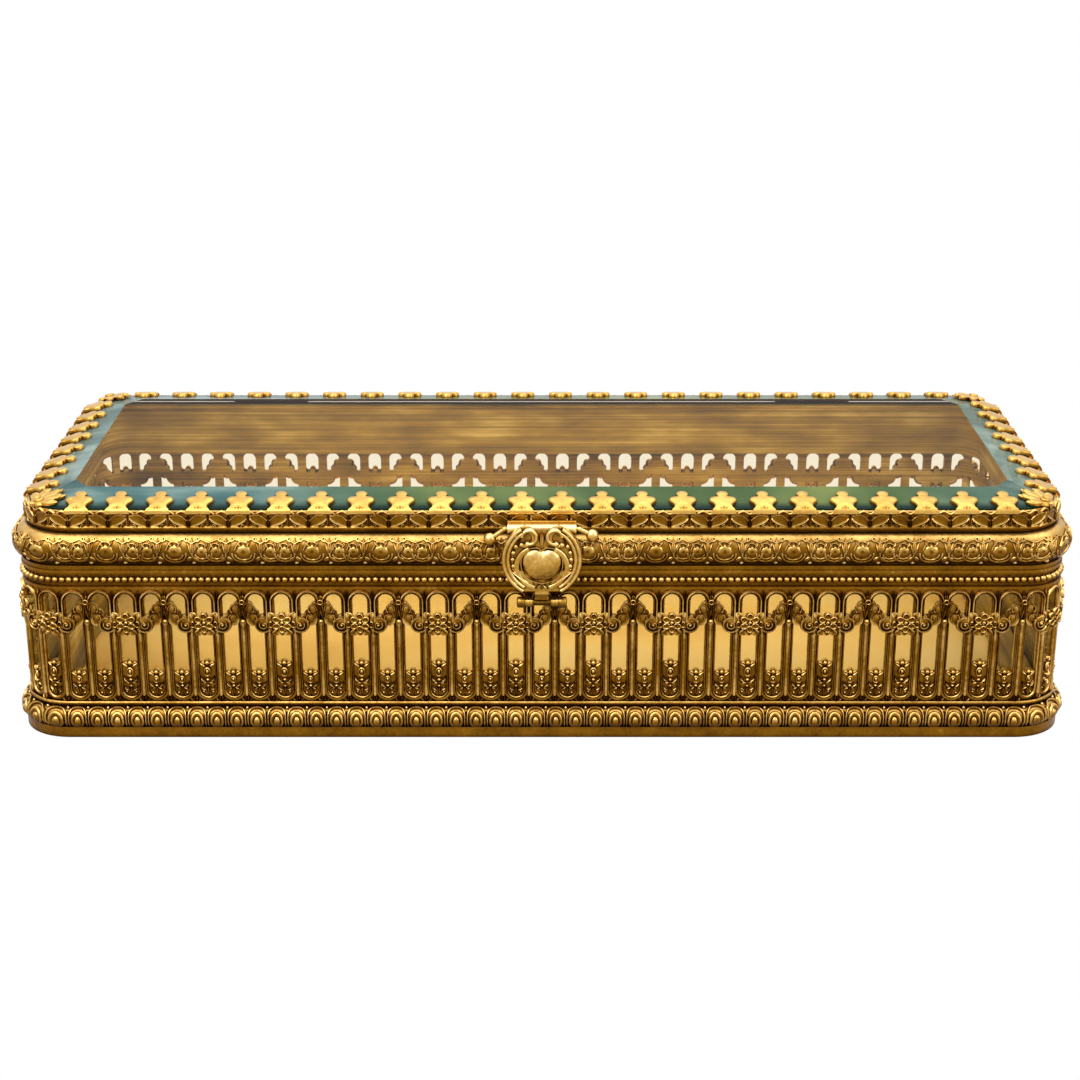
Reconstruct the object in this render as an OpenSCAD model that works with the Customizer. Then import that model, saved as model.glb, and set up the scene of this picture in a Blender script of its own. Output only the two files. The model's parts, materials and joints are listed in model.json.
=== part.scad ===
// Glass casket box: a long box with rounded corners, a pierced gilt gallery
// over glass panes, and a hinged lid that holds one thick bevelled plate.
// X is the length, Y the depth with the front at -Y, Z is up from the table.
// Ring profiles are drawn with x outwards from their outline and y upwards.

/* [Case] */
// Length over the faces of the pierced gallery
case_w = 318; // [270:1:382]
// Depth over the faces of the pierced gallery
case_d = 125; // [104:1:150]
// Corner radius at the gallery face
corner_r = 13.5; // [12:0.5:18]
// Height of the base moulding up to the step that carries the panes
base_h = 9.4; // [7:0.1:12]
// Height of the pierced gallery
gallery_h = 38.6; // [34:0.1:48]
// Height of the beaded band above the gallery
bead_band_h = 6.2; // [4:0.2:8]
// Height of the rounded rim on top of the case
rim_h = 11.7; // [10:0.1:14]

/* [Gallery] */
// Wanted width of one arch
arch_pitch = 7.7; // [7.5:0.1:9]
// Thickness of the pierced sheet
sheet_t = 1.2; // [0.8:0.1:1.4]
// Height of the raised mouldings above the sheet
relief_t = 0.6; // [0.3:0.1:0.8]
// Height of the garlands above the sheet
swag_t = 0.9; // [0.5:0.1:1.2]
// Half of the width of a window
window_hw = 2.25; // [1.6:0.05:2.4]
// Width of the raised moulding round a window
moulding_w = 0.6; // [0.6:0.05:1]

/* [Glass] */
// Thickness of the side panes
pane_t = 2; // [1.5:0.1:2.2]
// Full thickness of the lid plate
plate_t = 5.8; // [4.6:0.2:8]
// Thickness left at the edge of the lid plate
plate_edge_t = 3.3; // [1.5:0.1:3.5]
// Width of the bevel of the lid plate
bevel_w = 13; // [9:1:16]

/* [Lid] */
// Gap between the lid and the rim
lid_gap = 0.3; // [0.3:0.1:0.8]
// How far the lid stands back from the gallery face
lid_inset = 1; // [0.8:0.1:2]
// Corner radius of the lid
lid_corner_r = 16.5; // [15:0.5:20]
// Height of the lid frame
lid_frame_h = 5.6; // [5:0.2:7]
// Wanted spacing of the leaf claws
claw_pitch = 12; // [10:1:16]

/* [Hinges] */
// Distance of each back hinge from the middle
hinge_x = 96; // [40:1:110]
// Length of a back hinge
hinge_l = 26; // [18:1:40]
// Radius of a hinge knuckle
knuckle_r = 1.6; // [1.3:0.1:1.6]
// Radius of a hinge pin
pin_r = 0.7; // [0.5:0.1:0.8]
// Radial running clearance of a pin
pin_play = 0.05; // [0.03:0.01:0.08]

/* [Clasp] */
// Width of the clasp shield
shield_w = 24; // [20:1:28]
// Height of the shield below the clasp pin
shield_drop = 18.4; // [16:0.2:20]
// Length of the rolled plate that carries the clasp
clasp_plate_l = 20.4; // [18:0.2:24]
// Radius of the thumb balls
ball_r = 1.95; // [1.5:0.05:2]
// Length of the keeper bar between its knobs
keeper_bar_l = 12.4; // [10:0.2:16]

/* [Hidden] */
$fn = 48;

gap = 0.1;                  // between parts that lie along a curve
soft_gap = 0.3;             // round the lining pad
plinth_h = 3.4;
plinth_out = 2.6;
egg_out = 3.3;
plate_sheet_t = 1.15;       // base plate
plate_inset = 0.6;
band_t = 1.1;               // inner band and lower channel
wall_in = sheet_t + gap + pane_t + gap;   // from gallery face to the inside of the panes
pane_out = sheet_t + gap;   // gallery face to the outside of a pane
gallery_z = base_h;
gallery_top = gallery_z + gallery_h;
rim_z = gallery_top + bead_band_h;
rim_top = rim_z + rim_h;
rim_r = 5.1;                // rounding of the rim
rim_out = 2;                // how far the rim stands out
lid_z = rim_top + lid_gap;
lid_top = lid_z + lid_frame_h;

// Straight stretches between the corners, and the arches that fill them
straight_x = case_w - 2 * corner_r;
straight_y = case_d - 2 * corner_r;
arches_per_swag = 3;
corner_arches = 3;
// The front has an odd number, so that one arch stands in its middle. The back takes
// as many more as bring whole swags round the case.
arches_front = 2 * floor(straight_x / arch_pitch / 2) + 1;
arches_side = round(straight_y / arch_pitch);
arches_even = 2 * arches_front + 2 * arches_side + 4 * corner_arches;
arches_back = arches_front + (arches_per_swag - arches_even % arches_per_swag) % arches_per_swag;
// Running number of the first arch of each stretch, from the front's left end
first_right = arches_front + corner_arches;
first_back = first_right + arches_side + corner_arches;
first_left = first_back + arches_back + corner_arches;
corner_first = [first_right + arches_side, first_back + arches_back, first_left + arches_side, arches_front];
swag_phase = 2;             // of every three arches, this one carries the flower
reed_gap = 0.5;             // between the mouldings of neighbouring arches
window_top_drop = 1.5;      // window top below the top of the gallery
arch_z = gallery_top - window_top_drop - window_hw;
foot_z = gallery_z + 5.9;
side_sill_z = gallery_z + 11.6;
mid_sill_z = gallery_z + 14.7;
swag_z = arch_z - 6.8;      // height of the rosettes
bead_z = gallery_top + bead_band_h / 2;

// Lid outline and plate
lid_w = case_w - 2 * lid_inset;
lid_d = case_d - 2 * lid_inset;
ledge_t = 1;
ledge_z = lid_z + 2.3;
ledge_in = 6;
plate_z = ledge_z + ledge_t;
plate_in = 2;               // lid outline to the edge of the glass
bevel_rise = plate_t - plate_edge_t;
bevel_angle = atan(bevel_rise / bevel_w);
claw_t = 0.7;
claw_seat = 0.25;           // claws above the bevel
claw_reach = 8.4;
claw_root_hw = 2.65;        // half of the width of a claw where it leaves the strip
claw_margin = 0.15;         // between the last claw's root and the corner
claws_front = even_claws(lid_w);
claws_back = claws_front - 2;
claws_side = even_claws(lid_d);

// Length of a row of claws between the middles of its end ones, and the even number on it
function claw_row(length) = length - 2 * (lid_corner_r + claw_root_hw + claw_margin);
function even_claws(length) = 2 * round((claw_row(length) / claw_pitch + 1) / 2);

// Back hinges: the axis lies in the valley behind the lid, above the rim
hinge_y = case_d / 2 + 1;
hinge_z = lid_z + 0.4;
leaf_t = 0.8;

// Clasp: the axis hangs in front of the lid
clasp_y = -case_d / 2 - 3.1;
clasp_z = lid_z + 2.2;
clasp_knuckle_r = 1.6;
clasp_pin_r = 0.75;
shield_t = 1.4;
shield_top = 1.3;           // shield above the clasp pin
shield_mid = shield_drop * 0.45;            // widest place below the pin
shield_y = clasp_y - clasp_knuckle_r - 0.3;  // back of the shield
keeper_z = clasp_z - shield_drop - 4.6;
keeper_y = clasp_y - 0.6;
keeper_bar_r = 1;
keeper_eye_r = 1.45;
keeper_knob_r = 1.35;
post_r = 0.9;

// ---------- shared shapes ----------

module rounded(w, d, r) {
    square([w - 2 * r, d], center = true);
    square([w, d - 2 * r], center = true);
    for (x = [-1, 1], y = [-1, 1]) translate([x * (w / 2 - r), y * (d / 2 - r)]) circle(r);
}

// One corner of a swept ring, for the corner in the +X +Y quarter
module ring_corner(w, d, r) {
    translate([w / 2 - r, d / 2 - r, 0]) rotate_extrude(angle = 90, $fn = 96) translate([r, 0]) children();
}

// The straight length of a swept ring on the +X side
module ring_side(w, d, r) {
    translate([w / 2, 0, 0]) rotate([90, 0, 0]) linear_extrude(d - 2 * r, center = true) children();
}

// Sweeps a profile round a rounded rectangle
module ring(w, d, r) {
    for (k = [0, 2]) rotate(90 * k) {
        ring_side(w, d, r) children();
        ring_corner(w, d, r) children();
    }
    for (k = [1, 3]) rotate(90 * k) {
        ring_side(d, w, r) children();
        ring_corner(d, w, r) children();
    }
}

module case_ring() { ring(case_w, case_d, corner_r) children(); }
module lid_ring() { ring(lid_w, lid_d, lid_corner_r) children(); }

// Stands a flat pattern up as a front wall: x along the wall, y up, thickness towards +Y
module stand_front() { rotate([90, 0, 0]) children(); }

// Copies a front piece to the back
module to_back() { rotate(180) children(); }

// A slot with round ends, given by its end centres
module slot_y(hw, z0, z1) {
    translate([-hw, z0]) square([2 * hw, z1 - z0]);
    translate([0, z0]) circle(hw);
    translate([0, z1]) circle(hw);
}

// ---------- pierced gallery pattern: x along the wall, y is height ----------

function has_flower(i) = (i + arches_per_swag) % arches_per_swag == swag_phase;
function sill(i) = has_flower(i) ? mid_sill_z : side_sill_z;
function reed_out(pitch) = (pitch - reed_gap) / 2;
function window_half(pitch) = min(window_hw, reed_out(pitch) - moulding_w - 0.1);

// A window from its sill to the round head
module window(i, pitch) {
    hw = window_half(pitch);
    translate([-hw, sill(i)]) square([2 * hw, arch_z - sill(i)]);
    translate([0, arch_z]) circle(hw);
}

// The bud that stands up over the sill
module bud(i) { translate([0, sill(i) - 0.2]) circle(1.05); }

// Two reeds that meet in the round head and in the foot
module arch_moulding(pitch) {
    difference() {
        slot_y(reed_out(pitch), foot_z, arch_z);
        slot_y(reed_out(pitch) - moulding_w, foot_z, arch_z);
    }
}

// Six-petalled flower with its eye
module rosette() {
    for (a = [30:60:330]) rotate(a) translate([1.85, 0]) circle(0.95);
    circle(1.5);
}

// Flower, scrolled leaves and the leaves that climb to the next pillar
module swag(pitch) {
    k = pitch / 8;
    translate([0, swag_z]) {
        rosette();
        for (s = [-1, 1]) {
            translate([s * 5.9 * k, 0.1]) circle(2.2);
            translate([s * 4.2 * k, -1.9]) circle(1);
            translate([s * 8.9 * k, 2.3]) circle(1.8);
            translate([s * 10.6 * k, 4.9]) circle(1.7);
            translate([s * 3.6 * k, 1.6]) circle(1.2);
        }
    }
}

// The swags that reach arch number i, drawn from its middle
module swags_near(i, pitch) {
    for (c = [-1:1]) if (has_flower(i + c)) translate([c * pitch, 0]) swag(pitch);
}

// A flat gallery panel along x with its face on y = 0. Its arches are numbered on from first
module gallery_panel(length, arches, first) {
    pitch = length / arches;
    stand_front() {
        translate([0, 0, -sheet_t]) linear_extrude(sheet_t) {
            difference() {
                translate([-length / 2, gallery_z]) square([length, gallery_h]);
                for (i = [0:arches - 1]) translate([(i + 0.5) * pitch - length / 2, 0]) window(first + i, pitch);
            }
            panel_swags(length, arches, first);
            for (i = [0:arches - 1]) translate([(i + 0.5) * pitch - length / 2, 0]) bud(first + i);
        }
        translate([0, 0, -gap]) linear_extrude(relief_t + gap)
            for (i = [0:arches - 1]) translate([(i + 0.5) * pitch - length / 2, 0]) arch_moulding(pitch);
        translate([0, 0, -gap]) linear_extrude(swag_t + gap) panel_swags(length, arches, first);
    }
}

// The swags of a panel, cut off at its ends where the corners carry them on
module panel_swags(length, arches, first) {
    pitch = length / arches;
    intersection() {
        for (i = [-1:arches]) if (has_flower(first + i))
            translate([(i + 0.5) * pitch - length / 2, 0]) swag(pitch);
        translate([-length / 2, gallery_z]) square([length, gallery_h]);
    }
}

// Stands a flat pattern on the corner's radius, in front of arch j
module on_corner(j) {
    turn = 90 / corner_arches;
    start = corner_r - sheet_t - 1;
    rotate((j + 0.5) * turn) translate([start, 0, 0]) rotate([90, 0, 90]) linear_extrude(sheet_t + swag_t + 2)
        children();
}

// A shell of the corner between two radii
module corner_shell(r0, r1, z0, z1) {
    rotate_extrude(angle = 90, $fn = 96) translate([r0, z0]) square([r1 - r0, z1 - z0]);
}

// The rounded corner of the gallery carries the arches and swags on
module gallery_corner(first) {
    pitch = corner_r * PI / 2 / corner_arches;
    difference() {
        corner_shell(corner_r - sheet_t, corner_r, gallery_z, gallery_top);
        for (j = [0:corner_arches - 1]) on_corner(j) difference() {
            window(first + j, pitch);
            swags_near(first + j, pitch);
            bud(first + j);
        }
    }
    intersection() {
        corner_shell(corner_r - gap, corner_r + relief_t, gallery_z, gallery_top);
        for (j = [0:corner_arches - 1]) on_corner(j) arch_moulding(pitch);
    }
    intersection() {
        corner_shell(corner_r - gap, corner_r + swag_t, gallery_z, gallery_top);
        for (j = [0:corner_arches - 1]) on_corner(j) intersection() {
            swags_near(first + j, pitch);
            translate([-pitch / 2, gallery_z]) square([pitch, gallery_h]);
        }
    }
}

// ---------- case ----------

module base_plate() {
    color("darkgoldenrod") difference() {
        linear_extrude(plate_sheet_t)
            rounded(case_w - 2 * plate_inset, case_d - 2 * plate_inset, corner_r - plate_inset);
        screw_places() translate([0, 0, -1]) cylinder(r = screw_r + pin_play, h = plate_sheet_t + 2);
        screw_places() countersink(screw_play = gap);
    }
}

screw_r = 0.8;
screw_head_r = 1.3;
screw_l = 6;
screw_in = 2.1;             // screws inside the gallery face
screws_x = [-0.4, 0, 0.4];  // share of the case length

module screw_places() {
    for (s = [-1, 1], x = screws_x) translate([x * case_w, s * (case_d / 2 - screw_in), 0]) children();
}

module countersink(screw_play = 0) {
    cylinder(r1 = screw_head_r + screw_play, r2 = screw_r + screw_play, h = screw_head_r - screw_r);
}

module base_screws() {
    sunk = 0.05;
    color("goldenrod") screw_places() translate([0, 0, sunk]) {
        countersink();
        cylinder(r = screw_r, h = screw_l);
    }
}

// Plinth, egg moulding and the lip in front of the gallery
module base_profile() {
    egg_r = (base_h - plinth_h) / 2 - gap;
    lip_r = 0.65;
    lip_rise = 1.4;             // middle of the round lip above the step
    translate([gap - plate_inset, 0]) square([plate_inset + plinth_out - gap, plinth_h]);
    translate([-wall_in, plate_sheet_t]) square([wall_in + 0.4, base_h - plate_sheet_t]);
    translate([egg_out - egg_r, (plinth_h + base_h) / 2]) circle(egg_r);
    translate([gap / 2, base_h - 1]) square([0.4, 1 + lip_rise]);
    translate([gap / 2 + lip_r, base_h + lip_rise]) circle(lip_r);
}

module base_moulding() {
    color("goldenrod") difference() {
        case_ring() base_profile();
        screw_places() cylinder(r = screw_r + pin_play, h = screw_l + 0.5);
    }
}

// Low sheet inside the case that holds the feet of the panes
module lower_glass_channel() {
    color("darkgoldenrod") case_ring() {
        translate([-wall_in - gap - band_t, plate_sheet_t]) square([band_t, base_h - plate_sheet_t + 3]);
    }
}

module lining_pad() {
    pad_in = wall_in + gap + band_t + soft_gap;
    pad_z = plate_sheet_t + soft_gap;
    color("gold") translate([0, 0, pad_z]) linear_extrude(3)
        rounded(case_w - 2 * pad_in, case_d - 2 * pad_in, corner_r - pad_in);
}

module gallery_front() {
    color("goldenrod") translate([0, -case_d / 2, 0]) gallery_panel(straight_x, arches_front, 0);
}

module gallery_back() {
    color("goldenrod") to_back() translate([0, -case_d / 2, 0])
        gallery_panel(straight_x, arches_back, first_back);
}

module gallery_side(first) {
    color("goldenrod") rotate(90) translate([0, -case_w / 2, 0]) gallery_panel(straight_y, arches_side, first);
}

module gallery_right() { gallery_side(first_right); }
module gallery_left() { to_back() gallery_side(first_left); }

// The four corners in turn from the one at +X +Y; $corner tells a child which
module at_corners(w, d, r) {
    for (k = [0:3]) let($corner = k, across = k % 2 == 0 ? [w, d] : [d, w])
        rotate(90 * k) translate([across.x / 2 - r, across.y / 2 - r, 0]) children();
}

module gallery_corners() {
    color("goldenrod") at_corners(case_w, case_d, corner_r) gallery_corner(corner_first[$corner]);
}

// A flat pane behind a straight gallery panel
module pane(length) {
    translate([-length / 2, pane_out, gallery_z]) cube([length, pane_t, gallery_h]);
}

module glass_front() { color("lightcyan") translate([0, -case_d / 2, 0]) pane(straight_x); }
module glass_back() { to_back() glass_front(); }
module glass_right() { color("lightcyan") rotate(90) translate([0, -case_w / 2, 0]) pane(straight_y); }
module glass_left() { to_back() glass_right(); }

module glass_corners() {
    outer = corner_r - pane_out;
    color("lightcyan") at_corners(case_w, case_d, corner_r)
        corner_shell(outer - pane_t, outer, gallery_z, gallery_top);
}

// Band with two fillets; the beads stand between them
module bead_course() {
    ground_in = 0.7;
    fillet_h = 0.9;
    color("goldenrod") case_ring() {
        translate([-wall_in, gallery_top]) square([wall_in - ground_in, bead_band_h]);
        for (z = [gallery_top, rim_z - fillet_h]) translate([-1, z]) square([1.2, fillet_h]);
    }
}

// Rounded rim: fillet, cove and roll
module case_rim() {
    fillet_h = 1.4;
    color("goldenrod") case_ring() {
        translate([-wall_in, rim_z]) square([wall_in - 0.1, fillet_h]);
        intersection() {
            translate([rim_out - rim_r, rim_top - rim_r]) circle(rim_r);
            translate([-wall_in, rim_z]) square([wall_in + rim_out, rim_h]);
        }
        translate([-wall_in, rim_z]) square([wall_in - 1, rim_h - rim_r]);
    }
}

// Plain sheet inside the rim, rolled over at its top
module inner_band() {
    roll = 0.9;
    color("darkgoldenrod") case_ring() {
        translate([-wall_in - gap - band_t, gallery_top - 2]) square([band_t, rim_top - gallery_top + 1.4]);
        translate([-wall_in - gap - roll, rim_top - roll - 0.2]) circle(roll);
    }
}

// ---------- clasp keeper ----------

// The posts are riveted into the sheet between the middle arch and its neighbours
module keeper_posts() {
    color("gold") for (s = [-1, 1]) translate([s * straight_x / arches_front / 2, keeper_y, keeper_z])
        difference() {
            union() {
                rotate([-90, 0, 0]) cylinder(r = post_r, h = -case_d / 2 + sheet_t / 2 - keeper_y);
                rotate([0, 90, 0]) cylinder(r = keeper_eye_r, h = 2 * post_r + 0.3, center = true);
            }
            rotate([0, 90, 0]) cylinder(r = keeper_bar_r + pin_play, h = 4, center = true);
        }
}

// Bar with a knob at each end, turned in one piece
module keeper_bar() {
    color("gold") translate([0, keeper_y, keeper_z]) rotate([0, 90, 0]) rotate_extrude() intersection() {
        union() {
            square([2 * keeper_bar_r, keeper_bar_l], center = true);
            for (s = [-1, 1]) translate([0, s * keeper_bar_l / 2]) circle(keeper_knob_r);
        }
        translate([0, -keeper_bar_l]) square([keeper_bar_l, 2 * keeper_bar_l]);
    }
}

// ---------- back hinges ----------

module at_hinges() { for (s = [-1, 1]) translate([s * hinge_x, 0, 0]) children(); }

// A knuckle along X, bored for the pin
module knuckle(r, bore, length) {
    rotate([0, 90, 0]) difference() {
        cylinder(r = r, h = length, center = true);
        cylinder(r = bore, h = length + 1, center = true);
    }
}

knuckle_l = hinge_l / 3;
knuckle_gap = 0.3;

module hinge_case_leaves() {
    leaf_y = case_d / 2 + rim_out + gap;
    leaf_h = 9;
    color("goldenrod") at_hinges() {
        for (s = [-1, 1]) translate([s * knuckle_l, hinge_y, hinge_z])
            knuckle(knuckle_r, pin_r + pin_play / 2, knuckle_l - knuckle_gap);
        for (s = [-1, 1]) translate([s * knuckle_l - (knuckle_l - knuckle_gap) / 2, leaf_y, hinge_z - 2.4])
            cube([knuckle_l - knuckle_gap, leaf_t, 2.4]);
        translate([-hinge_l / 2, leaf_y, hinge_z - leaf_h]) cube([hinge_l, leaf_t, leaf_h - 2]);
    }
}

module hinge_lid_leaves() {
    leaf_y = case_d / 2 - lid_inset + gap;
    color("goldenrod") at_hinges() {
        translate([0, hinge_y, hinge_z]) knuckle(knuckle_r, pin_r + pin_play, knuckle_l - knuckle_gap);
        difference() {
            translate([-hinge_l / 2, leaf_y, hinge_z]) cube([hinge_l, leaf_t, lid_top - hinge_z - 0.6]);
            for (s = [-1, 1]) translate([s * knuckle_l, hinge_y, hinge_z]) rotate([0, 90, 0])
                cylinder(r = knuckle_r + soft_gap, h = knuckle_l + knuckle_gap, center = true);
            translate([0, hinge_y, hinge_z]) rotate([0, 90, 0])
                cylinder(r = pin_r + pin_play, h = hinge_l + 2, center = true);
        }
    }
}

module hinge_pins() {
    color("gold") at_hinges() translate([0, hinge_y, hinge_z]) rotate([0, 90, 0])
        cylinder(r = pin_r, h = hinge_l + 1, center = true);
}

// ---------- lid ----------

// Lip, leaf band and the ledge under the plate
module lid_frame() {
    lip_h = 1.8;
    color("goldenrod") lid_ring() {
        translate([-1.9, lid_z]) square([1.5, lip_h]);
        translate([-lip_h / 2, lid_z + lip_h / 2]) circle(lip_h / 2);
        polygon([[-1.9, lid_z + lip_h - 0.2], [-0.3, lid_z + lip_h - 0.2], [-0.5, lid_top - 2],
                 [-0.9, lid_top], [-1.9, lid_top]]);
        translate([-ledge_in, ledge_z]) square([ledge_in - 1.5, ledge_t]);
    }
}

// The plate: a bevel on every side, and small clipped corners on the flat
module lid_glass() {
    clip_x = 5;
    clip_y = 6.5;
    w = lid_w - 2 * plate_in;
    d = lid_d - 2 * plate_in;
    top_w = w - 2 * bevel_w;
    top_d = d - 2 * bevel_w;
    color("lightcyan") translate([0, 0, plate_z]) hull() {
        linear_extrude(plate_edge_t) rounded(w, d, lid_corner_r - plate_in, $fn = 64);
        linear_extrude(plate_t) {
            square([top_w - 2 * clip_x, top_d], center = true);
            square([top_w, top_d - 2 * clip_y], center = true);
        }
    }
}

// Leaf with a waist, two shoulders and a round tip, root at the origin, growing along +y
module leaf_outline() {
    tip_r = 2;
    neck_hw = 1.45;
    lobe_r = 1;
    lobe_x = 2.8;
    lobe_y = 3.1;
    waist_hw = 2.35;
    difference() {
        union() {
            translate([-lobe_x, -1.2]) square([2 * lobe_x, lobe_y + 1.2]);
            translate([-lobe_x + 0.6, lobe_y]) square([2 * lobe_x - 1.2, lobe_r]);
            for (s = [-1, 1]) translate([s * lobe_x, lobe_y]) circle(lobe_r);
        }
        for (s = [-1, 1]) translate([s * (waist_hw + 1.3), 0.5]) circle(1.3);
        for (s = [-1, 1]) translate([s * (claw_root_hw + 1), -1]) square(2, center = true);
    }
    translate([-neck_hw, lobe_y]) square([2 * neck_hw, claw_reach - tip_r - lobe_y]);
    translate([0, claw_reach - tip_r]) circle(tip_r);
}

strip_z = lid_top;          // leaf strip on top of the frame
strip_h = 0.6;
strip_in = plate_in - 0.05;
strip_out = 0.9;

module strip_profile() {
    translate([-strip_in, strip_z]) square([strip_in - strip_out, strip_h]);
}

// Lies a flat leaf on the bevel, its root on the lid outline at y = 0 and its tip towards +y
module on_bevel() {
    root_in = 1.7;
    bevel_z = plate_z + plate_edge_t;
    translate([0, plate_in, bevel_z]) rotate([bevel_angle, 0, 0])
        translate([0, root_in - plate_in, claw_seat]) linear_extrude(claw_t) children();
}

// Joins a leaf to the strip in front of the edge of the glass
module leaf_root(hw, front, back) {
    root_z = strip_z + strip_h / 2;
    height = plate_z + plate_edge_t + claw_seat + claw_t / 2 - root_z;
    translate([-hw, front, root_z]) cube([2 * hw, back - front, height]);
}

module claw() {
    on_bevel() leaf_outline();
    leaf_root(claw_root_hw - 0.1, strip_out + 0.1, strip_in - 0.05);
}

// Broad leaf of five fingers for the corners
module fan_outline() {
    finger_hw = 1.4;
    fingers = [[0, 9.6], [27, 8.8], [-27, 8.8], [56, 6.8], [-56, 6.8]];    // angle and reach
    translate([0, 1.6]) circle(3.2);
    for (f = fingers) rotate(f[0]) {
        translate([-finger_hw, 0]) square([2 * finger_hw, f[1] - finger_hw]);
        translate([0, f[1] - finger_hw]) circle(finger_hw);
    }
}

// A straight strip with its claws along the front of a lid of this length and depth
module leaf_strip(length, depth, claws) {
    straight = length - 2 * lid_corner_r;
    step = claw_row(length) / (claws - 1);
    translate([0, -depth / 2, 0]) {
        translate([-straight / 2, strip_out, strip_z]) cube([straight, strip_in - strip_out, strip_h]);
        for (i = [0:claws - 1]) translate([(i + 0.5 - claws / 2) * step, 0, 0]) claw();
    }
}

module leaf_strip_front() { color("gold") leaf_strip(lid_w, lid_d, claws_front); }
module leaf_strip_back() { color("gold") to_back() leaf_strip(lid_w, lid_d, claws_back); }
module leaf_strip_right() { color("gold") rotate(90) leaf_strip(lid_d, lid_w, claws_side); }
module leaf_strip_left() { to_back() leaf_strip_right(); }

// Strip round a corner with its fan
module corner_fan() {
    rotate_extrude(angle = 90, $fn = 96) translate([lid_corner_r, 0]) strip_profile();
    rotate(45 + 90) translate([0, -lid_corner_r, 0]) {
        on_bevel() fan_outline();
        leaf_root(2.4, strip_out + 0.25, strip_in - 0.15);
    }
}

module corner_leaves() { color("gold") at_corners(lid_w, lid_d, lid_corner_r) corner_fan(); }

// ---------- clasp ----------

clasp_side_l = 5;           // each end of the rolled plate
clasp_mid_l = clasp_plate_l - 2 * clasp_side_l - 2 * knuckle_gap;

// Plate on the lid front, rolled round the clasp pin at both ends
module clasp_plate() {
    plate_y = -case_d / 2 + lid_inset - 1;
    flange_t = 1.2;
    flange_h = 1.6;
    color("gold") {
        difference() {
            translate([-clasp_plate_l / 2, clasp_y, clasp_z]) cube([clasp_plate_l, plate_y + flange_t - clasp_y, 1]);
            translate([0, clasp_y, clasp_z]) rotate([0, 90, 0])
                cylinder(r = clasp_pin_r + pin_play, h = clasp_plate_l + 2, center = true);
            translate([0, clasp_y, clasp_z]) rotate([0, 90, 0])
                cylinder(r = clasp_knuckle_r + soft_gap, h = clasp_mid_l + 2 * knuckle_gap, center = true);
        }
        translate([-clasp_plate_l / 2, plate_y, clasp_z]) cube([clasp_plate_l, flange_t, flange_h]);
        for (s = [-1, 1]) translate([s * (clasp_plate_l - clasp_side_l) / 2, clasp_y, clasp_z])
            knuckle(clasp_knuckle_r, clasp_pin_r + pin_play, clasp_side_l);
    }
}

// Outline of the shield in front view, the pin at the origin
module shield_outline() {
    r = shield_w / 2;
    intersection() {
        translate([0, -shield_mid]) circle(r, $fn = 96);
        translate([-r, -shield_drop]) square([shield_w, shield_drop + shield_top]);
    }
    for (s = [-1, 1]) translate([s * shield_w * 0.2, -1.2]) circle(shield_w * 0.13);
}

// Half-round rib bent to an arc, ending in small balls
module c_scroll(r, from, sweep, rib) {
    rotate([90, 0, 0]) rotate(from) {
        rotate_extrude(angle = sweep, $fn = 64) translate([r, 0]) circle(rib, $fn = 24);
        for (a = [0, sweep]) rotate(a) translate([r, 0, 0]) sphere(rib * 1.25, $fn = 24);
    }
}

module clasp_shield() {
    boss_r = 6.9;
    boss_in = 3.4;              // centre of the boss behind the shield's back
    boss_x = 0.9;               // its two halves part by this, which leaves the notch
    boss_z = -shield_drop * 0.54;
    rim_rib = 0.8;
    tooth_r = 0.8;
    tooth_at = shield_w * 0.365;
    face_y = -shield_t;
    color("gold") {
        translate([0, shield_y, clasp_z]) {
            rotate([90, 0, 0]) linear_extrude(shield_t) shield_outline();
            intersection() {
                for (s = [-1, 1]) translate([s * boss_x, boss_in, boss_z]) sphere(boss_r, $fn = 64);
                translate([-boss_r * 2, -boss_r, boss_z - boss_r]) cube([boss_r * 4, boss_r - 0.2, boss_r * 2]);
            }
            for (s = [-1, 1]) translate([s * shield_w * 0.2, face_y, -1.6])
                c_scroll(2.4, s > 0 ? 100 : 80, s > 0 ? 200 : -200, 0.7);
            for (a = [0, 180]) translate([0, face_y, -shield_mid]) {
                c_scroll(shield_w / 2 - rim_rib - 0.25, a - 44, 88, rim_rib);
                for (k = [-2:2]) rotate([0, -a - 14 * k, 0]) translate([tooth_at, 0, 0]) sphere(tooth_r, $fn = 24);
            }
        }
        // central knuckle, joined to the shield's back
        translate([0, clasp_y, clasp_z]) knuckle(clasp_knuckle_r, clasp_pin_r, clasp_mid_l);
        translate([-clasp_mid_l / 2, shield_y - 0.2, clasp_z - 1.4])
            cube([clasp_mid_l, clasp_y - shield_y - clasp_pin_r - 0.1, 1.4]);
        // nose that comes down on the keeper bar
        translate([-2, shield_y - 0.2, keeper_z + keeper_bar_r + soft_gap])
            cube([4, keeper_y + 0.5 - shield_y, 4.5]);
    }
}

// Pin with a bent arm and a thumb ball at each end; the left arm drops more
arm_out = 0.9;
arm_tilts = [35, 25];
arm_lens = [5.3, 4.3];

// Places children at the start of an arm, along +z; side 0 is the left one
module arm_end(side) {
    s = side == 0 ? -1 : 1;
    translate([s * (clasp_plate_l / 2 + arm_out), clasp_y, clasp_z]) rotate([0, s * (90 + arm_tilts[side]), 0])
        children();
}

module clasp_pin() {
    color("gold") {
        translate([0, clasp_y, clasp_z]) rotate([0, 90, 0])
            cylinder(r = clasp_pin_r, h = clasp_plate_l + 2 * arm_out, center = true);
        for (side = [0, 1]) arm_end(side) {
            sphere(clasp_pin_r * 1.15, $fn = 32);
            cylinder(r = clasp_pin_r, h = arm_lens[side] - ball_r + 0.3);
        }
    }
}

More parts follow.
